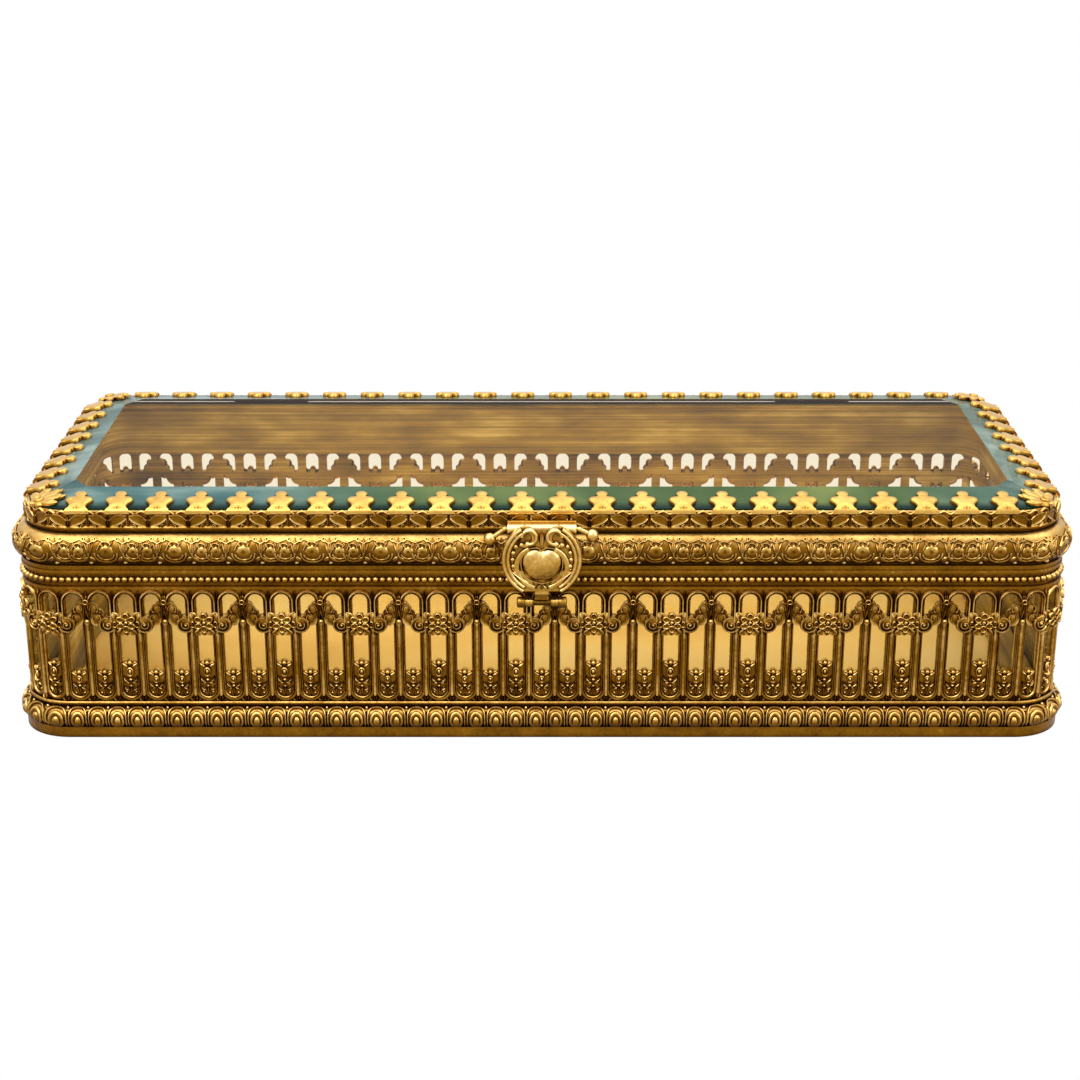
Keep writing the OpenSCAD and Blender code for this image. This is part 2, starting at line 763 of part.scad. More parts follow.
module clasp_balls() {
    color("gold") for (side = [0, 1]) arm_end(side) translate([0, 0, arm_lens[side]]) difference() {
        sphere(ball_r, $fn = 48);
        translate([0, 0, -ball_r - 1]) cylinder(r = clasp_pin_r, h = 1.3);
    }
}

// ---------- nodes ----------

base_plate();
base_screws();
base_moulding();
lower_glass_channel();
lining_pad();
gallery_front();
gallery_back();
gallery_left();
gallery_right();
gallery_corners();
glass_front();
glass_back();
glass_left();
glass_right();
glass_corners();
bead_course();
case_rim();
inner_band();
keeper_posts();
keeper_bar();
hinge_case_leaves();
hinge_pins();
lid_frame();
lid_glass();
leaf_strip_front();
leaf_strip_back();
leaf_strip_left();
leaf_strip_right();
corner_leaves();
hinge_lid_leaves();
clasp_plate();
clasp_shield();
clasp_pin();
clasp_balls();
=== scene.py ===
# %% [markdown]
# # Glass casket box
# The real object is a long casket of gilt bronze. A pierced arcade gallery stands before
# glass panes, and a hinged lid holds one thick bevelled plate of glass. The construction
# model already has every part that fits or moves. This script could rebuild them, but it
# keeps them as a fixed frame, so that the looks and the motion agree: it gives the parts
# their finish and adds the cast ornament that is too fine for the construction model.

# %% Load the frame
import json
import math

import bmesh
import bpy
import numpy as np
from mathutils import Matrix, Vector


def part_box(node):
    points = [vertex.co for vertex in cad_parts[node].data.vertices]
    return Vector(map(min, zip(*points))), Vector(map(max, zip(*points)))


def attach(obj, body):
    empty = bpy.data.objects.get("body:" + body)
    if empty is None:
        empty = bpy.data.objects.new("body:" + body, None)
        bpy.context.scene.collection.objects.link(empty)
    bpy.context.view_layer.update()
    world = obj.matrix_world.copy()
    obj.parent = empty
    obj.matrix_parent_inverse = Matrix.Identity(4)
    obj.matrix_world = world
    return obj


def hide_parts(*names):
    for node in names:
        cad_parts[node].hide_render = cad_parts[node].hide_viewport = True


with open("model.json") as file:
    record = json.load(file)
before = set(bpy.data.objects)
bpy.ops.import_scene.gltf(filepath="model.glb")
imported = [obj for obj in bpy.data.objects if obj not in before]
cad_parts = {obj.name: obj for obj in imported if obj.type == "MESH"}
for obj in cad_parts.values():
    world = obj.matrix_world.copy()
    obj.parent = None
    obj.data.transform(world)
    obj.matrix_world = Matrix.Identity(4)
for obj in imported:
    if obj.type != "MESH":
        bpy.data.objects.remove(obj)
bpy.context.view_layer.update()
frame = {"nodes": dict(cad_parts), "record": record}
nodes = frame["nodes"]
MM = 0.001

# %% [markdown]
# The box is seen from the front and from above, with little perspective. A camera can be
# aimed with a constraint or by hand. Here its tilt, lens and place are plain numbers, with
# the distance taken from the front face of the gallery, so that each can be tuned alone.

# %% Camera
CAMERA_ELEVATION = math.radians(20.5)
CAMERA_LENS = 68.7
CAMERA_TO_FRONT = 576.6 * MM
CAMERA_HEIGHT = 279.5 * MM
CAMERA_SIDE = -0.55 * MM
PANE_BEHIND_FACE = 1.3 * MM

front_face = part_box("glass_front")[0].y - PANE_BEHIND_FACE
camera = bpy.data.objects.new("camera", bpy.data.cameras.new("camera"))
bpy.context.scene.collection.objects.link(camera)
camera.data.lens = CAMERA_LENS
camera.data.sensor_width = 36
camera.data.clip_start = 0.01
camera.location = (CAMERA_SIDE, front_face - CAMERA_TO_FRONT, CAMERA_HEIGHT)
camera.rotation_euler = (math.pi / 2 - CAMERA_ELEVATION, 0, 0)
bpy.context.scene.camera = camera
bpy.context.scene.view_settings.view_transform = "Standard"
print("camera:", tuple(round(v, 4) for v in camera.location))

# %% [markdown]
# The ornament has to meet the parts of the construction model, so its sizes are gathered
# here in millimetres rather than typed where they are used. Names that end in Z are heights
# above the table, and OUT is how far a ground stands out of the outline of the case or the
# lid. The gallery's arches are counted round the case from the left end of the front. One
# size is checked against the frame, to catch a model that has changed.

# %% Sizes
CASE_W, CASE_D, CORNER_R = 318, 125, 13.5
ARCHES_FRONT, ARCHES_SIDE, ARCHES_BACK, ARCHES_CORNER = 37, 13, 39, 3
ARCHES_PER_SWAG, SWAG_PHASE = 3, 2
FOOT_Z, ARCH_Z = 15.3, 44.25
SIDE_SILL_Z, MID_SILL_Z = 21.0, 24.1
SWAG_Z, SWAG_T = 37.45, 0.9
BEAD_Z, BEAD_GROUND = 51.1, -0.7
EGG_Z, EGG_OUT, EGG_R = 6.4, 0.4, 2.9
RIM_Z, RIM_OUT, RIM_R = 60.8, -3.1, 5.1
LID_W, LID_D, LID_R = 316, 123, 16.5
LID_BAND_Z, LID_TOP = 68.0, 71.8
CLAWS_FRONT, CLAWS_BACK, CLAWS_SIDE = 24, 22, 8
CLAW_ROW_MARGIN = 2.8
PLATE_IN, BEVEL_Z, BEVEL_ANGLE = 2, 72.8, math.radians(10.886)
CLASP_Z, SHIELD_FACE, SHIELD_FOOT = 68.4, 68.9, 48.5
KEEPER_Y, KEEPER_Z = -66.2, 45.4
PAD_W, PAD_D, PAD_R, PAD_Z, PAD_T = 308.2, 115.2, 8.6, 1.45, 3

arch = (CASE_W - 2 * CORNER_R) / ARCHES_FRONT
arches = ARCHES_FRONT + ARCHES_BACK + 2 * ARCHES_SIDE + 4 * ARCHES_CORNER
gallery_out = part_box("gallery_right")[1].x / MM - CASE_W / 2
assert abs(gallery_out - SWAG_T) < 0.01, "the gallery's size in the frame has changed"
print("arches:", arches, "width of one:", round(arch, 3))

# %% [markdown]
# ## Finishes
# Metal, lacquer, glass and silk each get a node material. Nodes can be wired by hand in the
# editor. In a script, one function that adds a node with its settings and links keeps every
# tree short to read. Each finish is then a function that makes a shader, and its material
# is kept by name.

# %% Helpers for colours and nodes
finishes = {}


def colour(hex_code):
    """A linear RGBA colour from an sRGB hex code such as C8963C."""
    srgb = [int(hex_code[i : i + 2], 16) / 255 for i in (0, 2, 4)]
    linear = [c / 12.92 if c <= 0.04045 else ((c + 0.055) / 1.055) ** 2.4 for c in srgb]
    return (*linear, 1.0)


def add(tree, kind, inputs=(), stops=(), **settings):
    """Adds a node. Settings are its properties.

    Inputs are values, or nodes and sockets to link from: in a list by their order, or in a
    dictionary by name or number. Stops are a colour ramp's places and hex codes."""
    node = tree.nodes.new(kind)
    for name, value in settings.items():
        setattr(node, name, value)
    for name, value in inputs.items() if isinstance(inputs, dict) else enumerate(inputs):
        if isinstance(value, bpy.types.Node):
            value = value.outputs[0]
        if isinstance(value, bpy.types.NodeSocket):
            tree.links.new(value, node.inputs[name])
        else:
            node.inputs[name].default_value = value
    for k, (place, code) in enumerate(stops):
        elements = node.color_ramp.elements
        stop = elements[k] if k < 2 else elements.new(place)
        stop.position = place
        stop.color = colour(code)
    return node


def finish(name, shade, *values, **settings):
    """A material whose shader comes from the function shade."""
    material = bpy.data.materials.new(name)
    material.use_nodes = True
    material.node_tree.nodes.clear()
    shader = shade(material.node_tree, *values, **settings)
    add(material.node_tree, "ShaderNodeOutputMaterial", [shader])
    finishes[name] = material
    print("finish:", name, "with", len(material.node_tree.nodes), "nodes")
    return material


# F0C472 is the top of the gilt ramp: its painted highlight.
print("a burnished gold in linear light:", [round(c, 3) for c in colour("F0C472")])

# %% [markdown]
# The sheets inside the case are brass under old brown lacquer, which is rubbed through to
# gold in blotches and in fine long scratches. An image could hold them, but two stretched
# noises fit any sheet. Noise scales count waves in a metre: the blotches are about 28 mm
# long and 8 mm high, and the scratches 110 mm long and 0.6 mm apart.

# %% Lacquered brass
LACQUER = ((0.36, "745D24"), (0.47, "A58635"), (0.55, "C0A142"), (0.66, "F4DA85"))


def lacquer(tree, where):
    """The colour of the brown lacquer, by place."""
    across = add(tree, "ShaderNodeVectorMath", [where, (0.6, 0.6, 2.0)], operation="MULTIPLY")
    blotches = add(tree, "ShaderNodeTexNoise", {"Vector": across, "Scale": 60.0, "Detail": 6.0})
    along = add(tree, "ShaderNodeVectorMath", [where, (0.3, 0.3, 60.0)], operation="MULTIPLY")
    scratches = add(tree, "ShaderNodeTexNoise", {"Vector": along, "Scale": 30.0, "Detail": 3.0})
    streaks = add(tree, "ShaderNodeMath", [blotches, 0.6], operation="MULTIPLY")
    streaks = add(tree, "ShaderNodeMath", [scratches, 0.4, streaks], operation="MULTIPLY_ADD")
    return add(tree, "ShaderNodeValToRGB", [streaks], stops=LACQUER)


def lacquered_brass(tree):
    """Sheet brass that shows little of its own shine through the lacquer."""
    tone = lacquer(tree, add(tree, "ShaderNodeTexCoord").outputs["Object"])
    return add(tree, "ShaderNodeBsdfPrincipled", {"Base Color": tone, "Metallic": 0.15, "Roughness": 0.5})


finish("inner_brass", lacquered_brass)

# %% [markdown]
# The rest is fire-gilt bronze, cast and then burnished. Painting its colour by hand would
# take long, so one level adds it up from how open the spot is, how far it faces up, its
# ridges and some mottling, with clouds of 9 mm and specks of 1 mm. Openness browns the
# hollows, partly as the patina of old gilding and partly as painted shade; facing up and
# ridges give a painted highlight, as of light from above; the mottling is the gilding's own.
# The level picks the colour and the roughness together. The skin of the casting is a bump
# with grains of 0.4 mm and shallow dents of 2.6 mm.

# %% Gilt bronze
GILT_STOPS = (0.0, 0.35, 0.62, 0.95)
HOLLOW, OPEN = 0.28, 0.82
# Openness darkens hollows as patina and painted shade, facing up gives a painted highlight as of light from
# above, and metal below a height gets painted shadow.
OPEN_GAIN, LIGHT_FROM_ABOVE_GAIN, SHADOW_BELOW_GAIN = 0.52, 0.38, -0.3
MOTTLING = ((110.0, 5.0, 0.45), (900.0, 4.0, 0.3))
DULL_LEVEL, BRIGHT_LEVEL, DULLER = 0.1, 0.9, 0.25


def gilt(tree, codes, roughness, reach, wear=0.0, edges=0.0, inside=False, tarnish=None):
    """Fire-gilt bronze: dark in the hollows, brown on the ground, with a painted highlight where it stands
    out and faces up.

    Codes run from the hollow to the painted highlight, and reach is the width of a hollow.
    The hollows are patina and painted shade. The ridge gain paints a highlight on the ridges
    of a finely meshed casting. Inside gives faces that look into the case the old lacquer.
    Metal lower than a given height is painted darker, as painted shadow under what hangs over it."""
    place = add(tree, "ShaderNodeTexCoord").outputs
    where, normal = place["Object"], place["Normal"]
    near = add(tree, "ShaderNodeAmbientOcclusion", {"Distance": reach}, samples=8).outputs["AO"]
    # Hollows darken as patina and as painted shade, and faces that look up get a painted highlight.
    gains = [(add(tree, "ShaderNodeMapRange", [near, HOLLOW, OPEN]), OPEN_GAIN),
             (add(tree, "ShaderNodeSeparateXYZ", [normal]).outputs["Z"], LIGHT_FROM_ABOVE_GAIN)]
    # Painted shadow: metal below this height is darker, as under the shield that hangs over it.
    if tarnish:
        height = add(tree, "ShaderNodeSeparateXYZ", [where]).outputs["Z"]
        gains.append((add(tree, "ShaderNodeMath", [height, tarnish], operation="LESS_THAN"), SHADOW_BELOW_GAIN))
    # Painted highlight on ridges, from the mesh's pointiness.
    if edges:
        ridge = add(tree, "ShaderNodeNewGeometry").outputs["Pointiness"]
        gains.append((add(tree, "ShaderNodeMath", [ridge, 0.5], operation="SUBTRACT"), edges))
    for scale, detail, gain in MOTTLING:
        spots = add(tree, "ShaderNodeTexNoise", {"Vector": where, "Scale": scale, "Detail": detail})
        gains.append((add(tree, "ShaderNodeMath", [spots, 0.5], operation="SUBTRACT"), gain))
    level = wear
    for value, gain in gains:
        level = add(tree, "ShaderNodeMath", [value, gain, level], operation="MULTIPLY_ADD")
    tone = add(tree, "ShaderNodeValToRGB", [level], stops=zip(GILT_STOPS, codes))
    rough = add(tree, "ShaderNodeMapRange", [level, DULL_LEVEL, BRIGHT_LEVEL, roughness + DULLER, roughness])
    metallic = 1.0
    if inside:
        facing = add(tree, "ShaderNodeVectorMath", [where, normal], operation="MULTIPLY")
        facing = add(tree, "ShaderNodeSeparateXYZ", [facing]).outputs
        least = add(tree, "ShaderNodeMath", [facing["X"], facing["Y"]], operation="MINIMUM")
        looks_in = add(tree, "ShaderNodeMath", [least, -0.03], operation="LESS_THAN")
        old = {0: looks_in, 6: tone, 7: lacquer(tree, where)}
        tone = add(tree, "ShaderNodeMix", old, data_type="RGBA").outputs[2]
        rough = add(tree, "ShaderNodeMix", {0: looks_in, 2: rough, 3: 0.5})
        metallic = add(tree, "ShaderNodeMath", [looks_in, -0.85, 1.0], operation="MULTIPLY_ADD")
    skin = add(tree, "ShaderNodeTexNoise", {"Vector": where, "Scale": 2500.0, "Detail": 3.0})
    dents = add(tree, "ShaderNodeTexNoise", {"Vector": where, "Scale": 380.0, "Detail": 2.0})
    cast = add(tree, "ShaderNodeMath", [dents, 7.0, skin], operation="MULTIPLY_ADD")
    bump = add(tree, "ShaderNodeBump", {"Height": cast, "Strength": 0.25, "Distance": 0.06 * MM})
    return add(tree, "ShaderNodeBsdfPrincipled",
               {"Base Color": tone, "Metallic": metallic, "Roughness": rough, "Normal": bump})


# Each ramp runs from the hollows, patina and painted shade, to a painted highlight.
AGED_GILT_SHADE_TO_HIGHLIGHT = ("2A1703", "5C390B", "8C5F15", "F0C472")
RUBBED_GILT_SHADE_TO_HIGHLIGHT = ("3E2405", "805416", "B07E2C", "E6B860")
HANDLED_GILT_SHADE_TO_HIGHLIGHT = ("2E1A04", "7C561A", "C4943F", "FCE09A")
finish("gilt_bronze", gilt, AGED_GILT_SHADE_TO_HIGHLIGHT, 0.3, 2.2 * MM)
finish("gallery_sheet", gilt, AGED_GILT_SHADE_TO_HIGHLIGHT, 0.3, 1.4 * MM, wear=0.06, inside=True)
finish("gilt_casting", gilt, AGED_GILT_SHADE_TO_HIGHLIGHT, 0.27, 0.9 * MM, wear=-0.03, edges=2.8)
finish("gilt_claws", gilt, RUBBED_GILT_SHADE_TO_HIGHLIGHT, 0.3, 1.5 * MM, edges=2.0)
# The clasp's finish paints shadow on metal below the foot of the shield.
finish("clasp_gilt", gilt, HANDLED_GILT_SHADE_TO_HIGHLIGHT, 0.23, 1.2 * MM, wear=0.04, edges=1.6, tarnish=SHIELD_FOOT * MM)

# %% [markdown]
# The side panes are thin, polished glass. Real refraction in a thin pane costs light and
# shows nothing, so they are a clear shader with a mirror that grows at a slant. The lid's
# plate is thick and does bend what is seen through it. Its bevel is painted with the
# glass's own green and with painted reflection: green in the middle and bluer towards the
# ends, with painted shade near the claws and at its rim.

# %% Clear glass
FLAT_FROM, FLAT_TO, BEVEL_COVER = 0.986, 0.996, 0.88
# The bevel's colours: the glass's own green and a painted reflection, bluer towards the ends.
GREEN_MIDDLE, BLUE_FROM, BLUE_TO = 0.035, 0.07, 0.125
GREEN_AND_REFLECTION = ((0.3, "34502C"), (0.5, "566C40"), (0.7, "828E4E"))
TEAL_REFLECTION = ((0.3, "34565A"), (0.5, "507472"), (0.72, "8AA29C"))


def clear_pane(tree, tint, mirror, bends=False):
    """Polished glass, with a mirror on it that grows at a slant.

    Glass that bends shifts what is seen through it, and still lets the light that falls in
    go straight on."""
    slant = add(tree, "ShaderNodeLayerWeight", {"Blend": 0.5}).outputs["Facing"]
    steep = add(tree, "ShaderNodeMath", [slant, 5.0], operation="POWER")
    mirrored = add(tree, "ShaderNodeMath", [steep, mirror, 0.01], operation="MULTIPLY_ADD")
    through = add(tree, "ShaderNodeBsdfTransparent", {"Color": colour(tint)})
    if bends:
        path = add(tree, "ShaderNodeLightPath").outputs
        falls_in = [path["Is Shadow Ray"], path["Is Diffuse Ray"]]
        straight = add(tree, "ShaderNodeMath", falls_in, operation="MAXIMUM")
        bent = add(tree, "ShaderNodeBsdfRefraction", {"Color": colour(tint), "Roughness": 0.0, "IOR": 1.5})
        through = add(tree, "ShaderNodeMixShader", [straight, bent, through])
        seen = add(tree, "ShaderNodeMath", [1.0, straight], operation="SUBTRACT")
        mirrored = add(tree, "ShaderNodeMath", [mirrored, seen], operation="MULTIPLY")
    polish = add(tree, "ShaderNodeBsdfPrincipled",
                 {"Base Color": colour("FFFFFF"), "Metallic": 1.0, "Roughness": 0.03})
    return add(tree, "ShaderNodeMixShader", [mirrored, through, polish])


def bevelled_plate(tree, tint, mirror):
    """The thick plate: clear where it lies flat; where it slopes, the glass's green with painted reflection
    and painted shade.
    """
    place = add(tree, "ShaderNodeTexCoord").outputs
    where = place["Object"]
    spot = add(tree, "ShaderNodeSeparateXYZ", [where]).outputs
    upright = add(tree, "ShaderNodeSeparateXYZ", [place["Normal"]]).outputs["Z"]
    tilt = add(tree, "ShaderNodeMath", [upright], operation="ABSOLUTE")
    sloped = add(tree, "ShaderNodeMapRange", [tilt, FLAT_FROM, FLAT_TO, BEVEL_COVER, 0.0])
    aside = add(tree, "ShaderNodeMath", [spot["X"], GREEN_MIDDLE], operation="SUBTRACT")
    aside = add(tree, "ShaderNodeMath", [aside], operation="ABSOLUTE")
    clouds = add(tree, "ShaderNodeTexNoise", {"Vector": where, "Scale": 22.0, "Detail": 3.0})
    uneven = add(tree, "ShaderNodeMath", [clouds, 0.5], operation="SUBTRACT")
    aside = add(tree, "ShaderNodeMath", [uneven, 0.05, aside], operation="MULTIPLY_ADD")
    blue = add(tree, "ShaderNodeMapRange", [aside, BLUE_FROM, BLUE_TO])
    green = add(tree, "ShaderNodeValToRGB", [clouds], stops=GREEN_AND_REFLECTION)
    along = add(tree, "ShaderNodeVectorMath", [where, (1.0, 2.5, 1.0)], operation="MULTIPLY")
    grain = add(tree, "ShaderNodeTexNoise", {"Vector": along, "Scale": 30.0, "Detail": 4.0})
    teal = add(tree, "ShaderNodeValToRGB", [grain], stops=TEAL_REFLECTION)
    tone = add(tree, "ShaderNodeMix", {0: blue, 6: green, 7: teal}, data_type="RGBA").outputs[2]
    # Painted shade of the claws on the bevel: darker where the spot is closed in.
    near = add(tree, "ShaderNodeAmbientOcclusion", {"Distance": 3.0 * MM}, samples=8).outputs["AO"]
    clear_of_claw_shade = add(tree, "ShaderNodeMapRange", [near, 0.45, 0.9])
    # Painted shade: the bevel is darker towards its rim.
    rim = add(tree, "ShaderNodeMapRange", [spot["Z"], (BEVEL_Z + 0.2) * MM, (BEVEL_Z + 0.75) * MM])
    for part, dark in ((clear_of_claw_shade, "28341C"), (rim, "0C2A22")):
        shades = {0: part, 6: colour(dark), 7: tone}
        tone = add(tree, "ShaderNodeMix", shades, data_type="RGBA").outputs[2]
    bevel = add(tree, "ShaderNodeBsdfPrincipled",
                {"Base Color": tone, "Roughness": 0.22, "Specular IOR Level": 0.07})
    return add(tree, "ShaderNodeMixShader", [sloped, clear_pane(tree, tint, mirror, bends=True), bevel])


finish("side_glass", clear_pane, "FEFCF6", 0.15)
finish("lid_plate_glass", bevelled_plate, "FCF8EE", 0.2)

# %% [markdown]
# The pad is covered in yellow silk satin, with a painted highlight on the crowns of its
# folds. The weave is far too fine to show, so only the folds are drawn, some 100 mm long and
# 45 mm apart: they paint shade and highlight on the cloth and bend its sheen a little.

# %% Silk
SILK_SHADED_TO_LIT = ((0.25, "E6B450"), (0.5, "FCD274"), (0.8, "FFE498"))


def folded_silk(tree):
    """Soft yellow silk."""
    where = add(tree, "ShaderNodeTexCoord").outputs["Object"]
    along = add(tree, "ShaderNodeVectorMath", [where, (0.7, 1.6, 1.0)], operation="MULTIPLY")
    folds = add(tree, "ShaderNodeTexNoise", {"Vector": along, "Scale": 14.0, "Detail": 3.0})
    # Painted shade in the folds and a painted highlight on their crowns.
    tone = add(tree, "ShaderNodeValToRGB", [folds], stops=SILK_SHADED_TO_LIT)
    bump = add(tree, "ShaderNodeBump", {"Height": folds, "Strength": 0.5, "Distance": 2.0 * MM})
    return add(tree, "ShaderNodeBsdfPrincipled",
               {"Base Color": tone, "Roughness": 0.6, "Specular IOR Level": 0.25, "Normal": bump})


silk = finish("silk_lining", folded_silk)

# %% [markdown]
# Each part of the frame has a named slot, so the finishes are handed out by name instead of
# piece by piece. The pierced sheets of the gallery and the course of beads take a finish of
# their own, because their backs look into the case. Castings are meshed finely enough for
# the painted highlights on the ridges of gilt_casting.

# %% Dress the CAD pieces
SHEETS = ("gallery_front", "gallery_back", "gallery_left", "gallery_right", "gallery_corners", "bead_course")

for part in frame["record"]["subparts"]:
    nodes[part["node"]].material_slots[0].material = finishes[part["material_slot"]]
for name in SHEETS:
    nodes[name].material_slots[0].material = finishes["gallery_sheet"]
castings = {**finishes, "gilt_bronze": finishes["gilt_casting"]}

# %% [markdown]
# ## Cast ornament
# The mouldings carry cast ornament: leaves, ribs, petals and beads. It could be sculpted,
# but a rule-drawn motif can be repeated hundreds of times and stays light. So every motif is
# drawn once, seen from the front, as small closed shells of a few dozen faces: x runs to the
# right, z up, and the third size is the height above the ground. A motif on a rounded
# moulding is then laid round its roll.

# %% Shapes for ornament
SUNK = 0.25
DOME_TOP = 1.35
VOLUTE_EYE = 0.25


def arc(x, z, radius, start, end, steps=10):
    """Points on an arc, from one angle in degrees to another."""
    angles = np.radians(np.linspace(start, end, steps + 1))
    return np.column_stack([x + radius * np.cos(angles), z + radius * np.sin(angles)])


def volute(x, z, radius, turns, start, steps=22):
    """Points that wind in from radius to the eye; negative turns wind clockwise."""
    done = np.linspace(0, 1, steps + 1)
    angles = math.radians(start) + done * turns * 2 * math.pi
    reach = radius * (1 - (1 - VOLUTE_EYE) * done)
    return np.column_stack([x + reach * np.cos(angles), z + reach * np.sin(angles)])


def curve(*points, steps=10):
    """A smooth curve through the given points (Catmull-Rom)."""
    p = np.array([points[0], *points, points[-1]], float)
    out = []
    for a, b, c, d in zip(p, p[1:], p[2:], p[3:]):
        for t in np.linspace(0, 1, steps, endpoint=False):
            out.append(0.5 * (2 * b + (c - a) * t + (2 * a - 5 * b + 4 * c - d) * t**2
                              + (3 * b - 3 * c + d - a) * t**3))
    return np.array([*out, p[-1]])


class Motif:
    """A cast ornament: closed shells as points (x, z, height) and the faces between them."""

    def __init__(self):
        self.points, self.faces = [], []

    def loft(self, rows, closed=False):
        """One shell through rings of points; closed joins the last ring to the first."""
        rows = np.asarray(rows, float)
        count, around = rows.shape[:2]
        first = len(self.points)
        self.points += rows.reshape(-1, 3).tolist()

        def at(i, j):
            return first + i % count * around + j % around

        for i in range(count if closed else count - 1):
            self.faces += [(at(i, j), at(i, j + 1), at(i + 1, j + 1), at(i + 1, j)) for j in range(around)]
        if not closed:
            self.faces.append([at(0, j) for j in range(around)])
            self.faces.append([at(count - 1, j) for j in range(around)])
        return self

    def ovals(self, x, z, wide, high, turn, around, rows):
        """One shell through ovals, given by their share of the size and their height."""
        angles = np.linspace(0, 2 * math.pi, around, endpoint=False)
        u, v = wide / 2 * np.cos(angles), high / 2 * np.sin(angles)
        c, s = math.cos(math.radians(turn)), math.sin(math.radians(turn))
        return self.loft([np.column_stack([x + size * (c * u - s * v), z + size * (s * u + c * v),
                                           np.full(around, height)]) for size, height in rows])

    def dome(self, x, z, wide, high, tall, base=0, turn=0, around=12, rings=4, pit=0):
        """Half an egg on its side; pit sinks its middle."""
        rows = [(1, -SUNK)] + [(math.cos(t), tall * math.sin(t)) for t in np.linspace(0, DOME_TOP, rings)]
        if pit:
            rows += [(0.3, tall - 0.05), (0.2, tall - pit), (0.05, tall - pit)]
        return self.ovals(x, z, wide, high, turn, around, [(size, base + h) for size, h in rows])

    def cup(self, x, z, wide, high, tall, base=0, turn=0, around=12, deep=0.5):
        """A petal or berry with a raised rim and a hollow inside it."""
        low = tall * (1 - deep)
        rows = ((1, -SUNK), (1, 0.5 * tall), (0.9, 0.92 * tall), (0.78, tall), (0.66, 0.9 * tall), (0.5, low),
                (0.1, low))
        return self.ovals(x, z, wide, high, turn, around, [(size, base + h) for size, h in rows])

    def rib(self, path, width, tall, base=0, taper=0, closed=False, across=5, flat=1.0):
        """A half-round rib along a path; taper narrows it towards its end, and a low flat squares it."""
        path = np.asarray(path, float)
        along = np.roll(path, -1, 0) - np.roll(path, 1, 0) if closed else np.gradient(path, axis=0)
        side = np.column_stack([along[:, 1], -along[:, 0]]) / np.linalg.norm(along, axis=1)[:, None]
        t = np.linspace(0, math.pi, across + 1)
        rows = []
        for k, (p, n) in enumerate(zip(path, side)):
            keep = 1 - taper * k / (len(path) - 1)
            off = width * keep / 2 * np.sign(np.cos(t)) * abs(np.cos(t)) ** flat
            height = base + tall * keep * abs(np.sin(t)) ** flat
            off = np.array([off[0], *off, off[-1]])
            height = np.array([base - SUNK, *height, base - SUNK])
            rows.append(np.column_stack([p[0] + off * n[0], p[1] + off * n[1], height]))
        return self.loft(rows, closed)

    def leaf(self, root, tip, width, tall, bend=0, base=0, section=(0.35, 0.9, 0.5), full=0.45, steps=8):
        """A leaf from root to tip. Section gives the height at its edge, its swell and its vein."""
        root, tip = np.array(root, float), np.array(tip, float)
        along = tip - root
        side = np.array([along[1], -along[0]])
        side = side / np.linalg.norm(side)
        edge, swell, vein = section
        heights = np.array([edge, swell, vein, swell, edge])
        rows = []
        for t in np.linspace(0, 1, steps + 1):
            centre = root + along * t + side * bend * 4 * t * (1 - t)
            peak = t ** (math.log(0.5) / math.log(full))
            half = width / 2 * (0.12 + 0.88 * math.sin(math.pi * peak) ** 0.8)
            lift = tall * (0.45 + 0.55 * math.sin(math.pi * min(1, peak + 0.1)))
            off = half * np.array([1, 1, 0.55, 0, -0.55, -1, -1])
            height = base + np.array([-SUNK, *heights * lift, -SUNK])
            rows.append(np.column_stack([centre[0] + off * side[0], centre[1] + off * side[1], height]))
        return self.loft(rows)

    def both(self, draw):
        """Calls draw with 1 and with -1, for what stands on either side of the middle."""
        draw(1)
        draw(-1)
        return self

    def leaves(self, root, tip, width, tall, bend=0, middle=0, **more):
        """A leaf to the right of the middle, and its mirror image."""
        return self.both(lambda s: self.leaf((middle + s * root[0], root[1]), (middle + s * tip[0], tip[1]),
                                             width, tall, bend=s * bend, **more))

    def shift(self, x=0, z=0):
        """Moves the whole motif."""
        self.points = (np.array(self.points) + (x, z, 0)).tolist()
        return self

    def mesh(self, name, lay):
        """A mesh in metres. Lay turns columns x, z and height into x, y and z."""
        x, z, height = np.array(self.points).T
        mesh = bpy.data.meshes.new(name)
        mesh.from_pydata((np.column_stack(lay(x, z, height)) * MM).tolist(), [], self.faces)
        work = bmesh.new()
        work.from_mesh(mesh)
        bmesh.ops.recalc_face_normals(work, faces=work.faces)
        work.to_mesh(mesh)
        work.free()
        return mesh


def on_wall(out):
    """Lays a motif on an upright wall that stands out from its outline."""
    return lambda x, z, height: (x, -out - height, z)


def on_roll(out, level, radius):
    """Lays a motif round a roll; z = 0 comes to the roll's own level."""
    def lay(x, z, height):
        angle = z / radius
        reach = radius + height
        return (x, -out - reach * np.cos(angle), level + reach * np.sin(angle))
    return lay


print("ornament is drawn with:", [name for name in vars(Motif) if not name.startswith("_")])

# %% [markdown]
# The rows of ornament go all the way round the case or the lid, corners included. An Array
# with a Curve modifier would squash them at the corners. Here a ring of points marks the way
# round, and each point keeps the direction that leads out of the wall. The gallery's ring
# gives every arch the same number of points, so its arches agree with the pierced sheets.


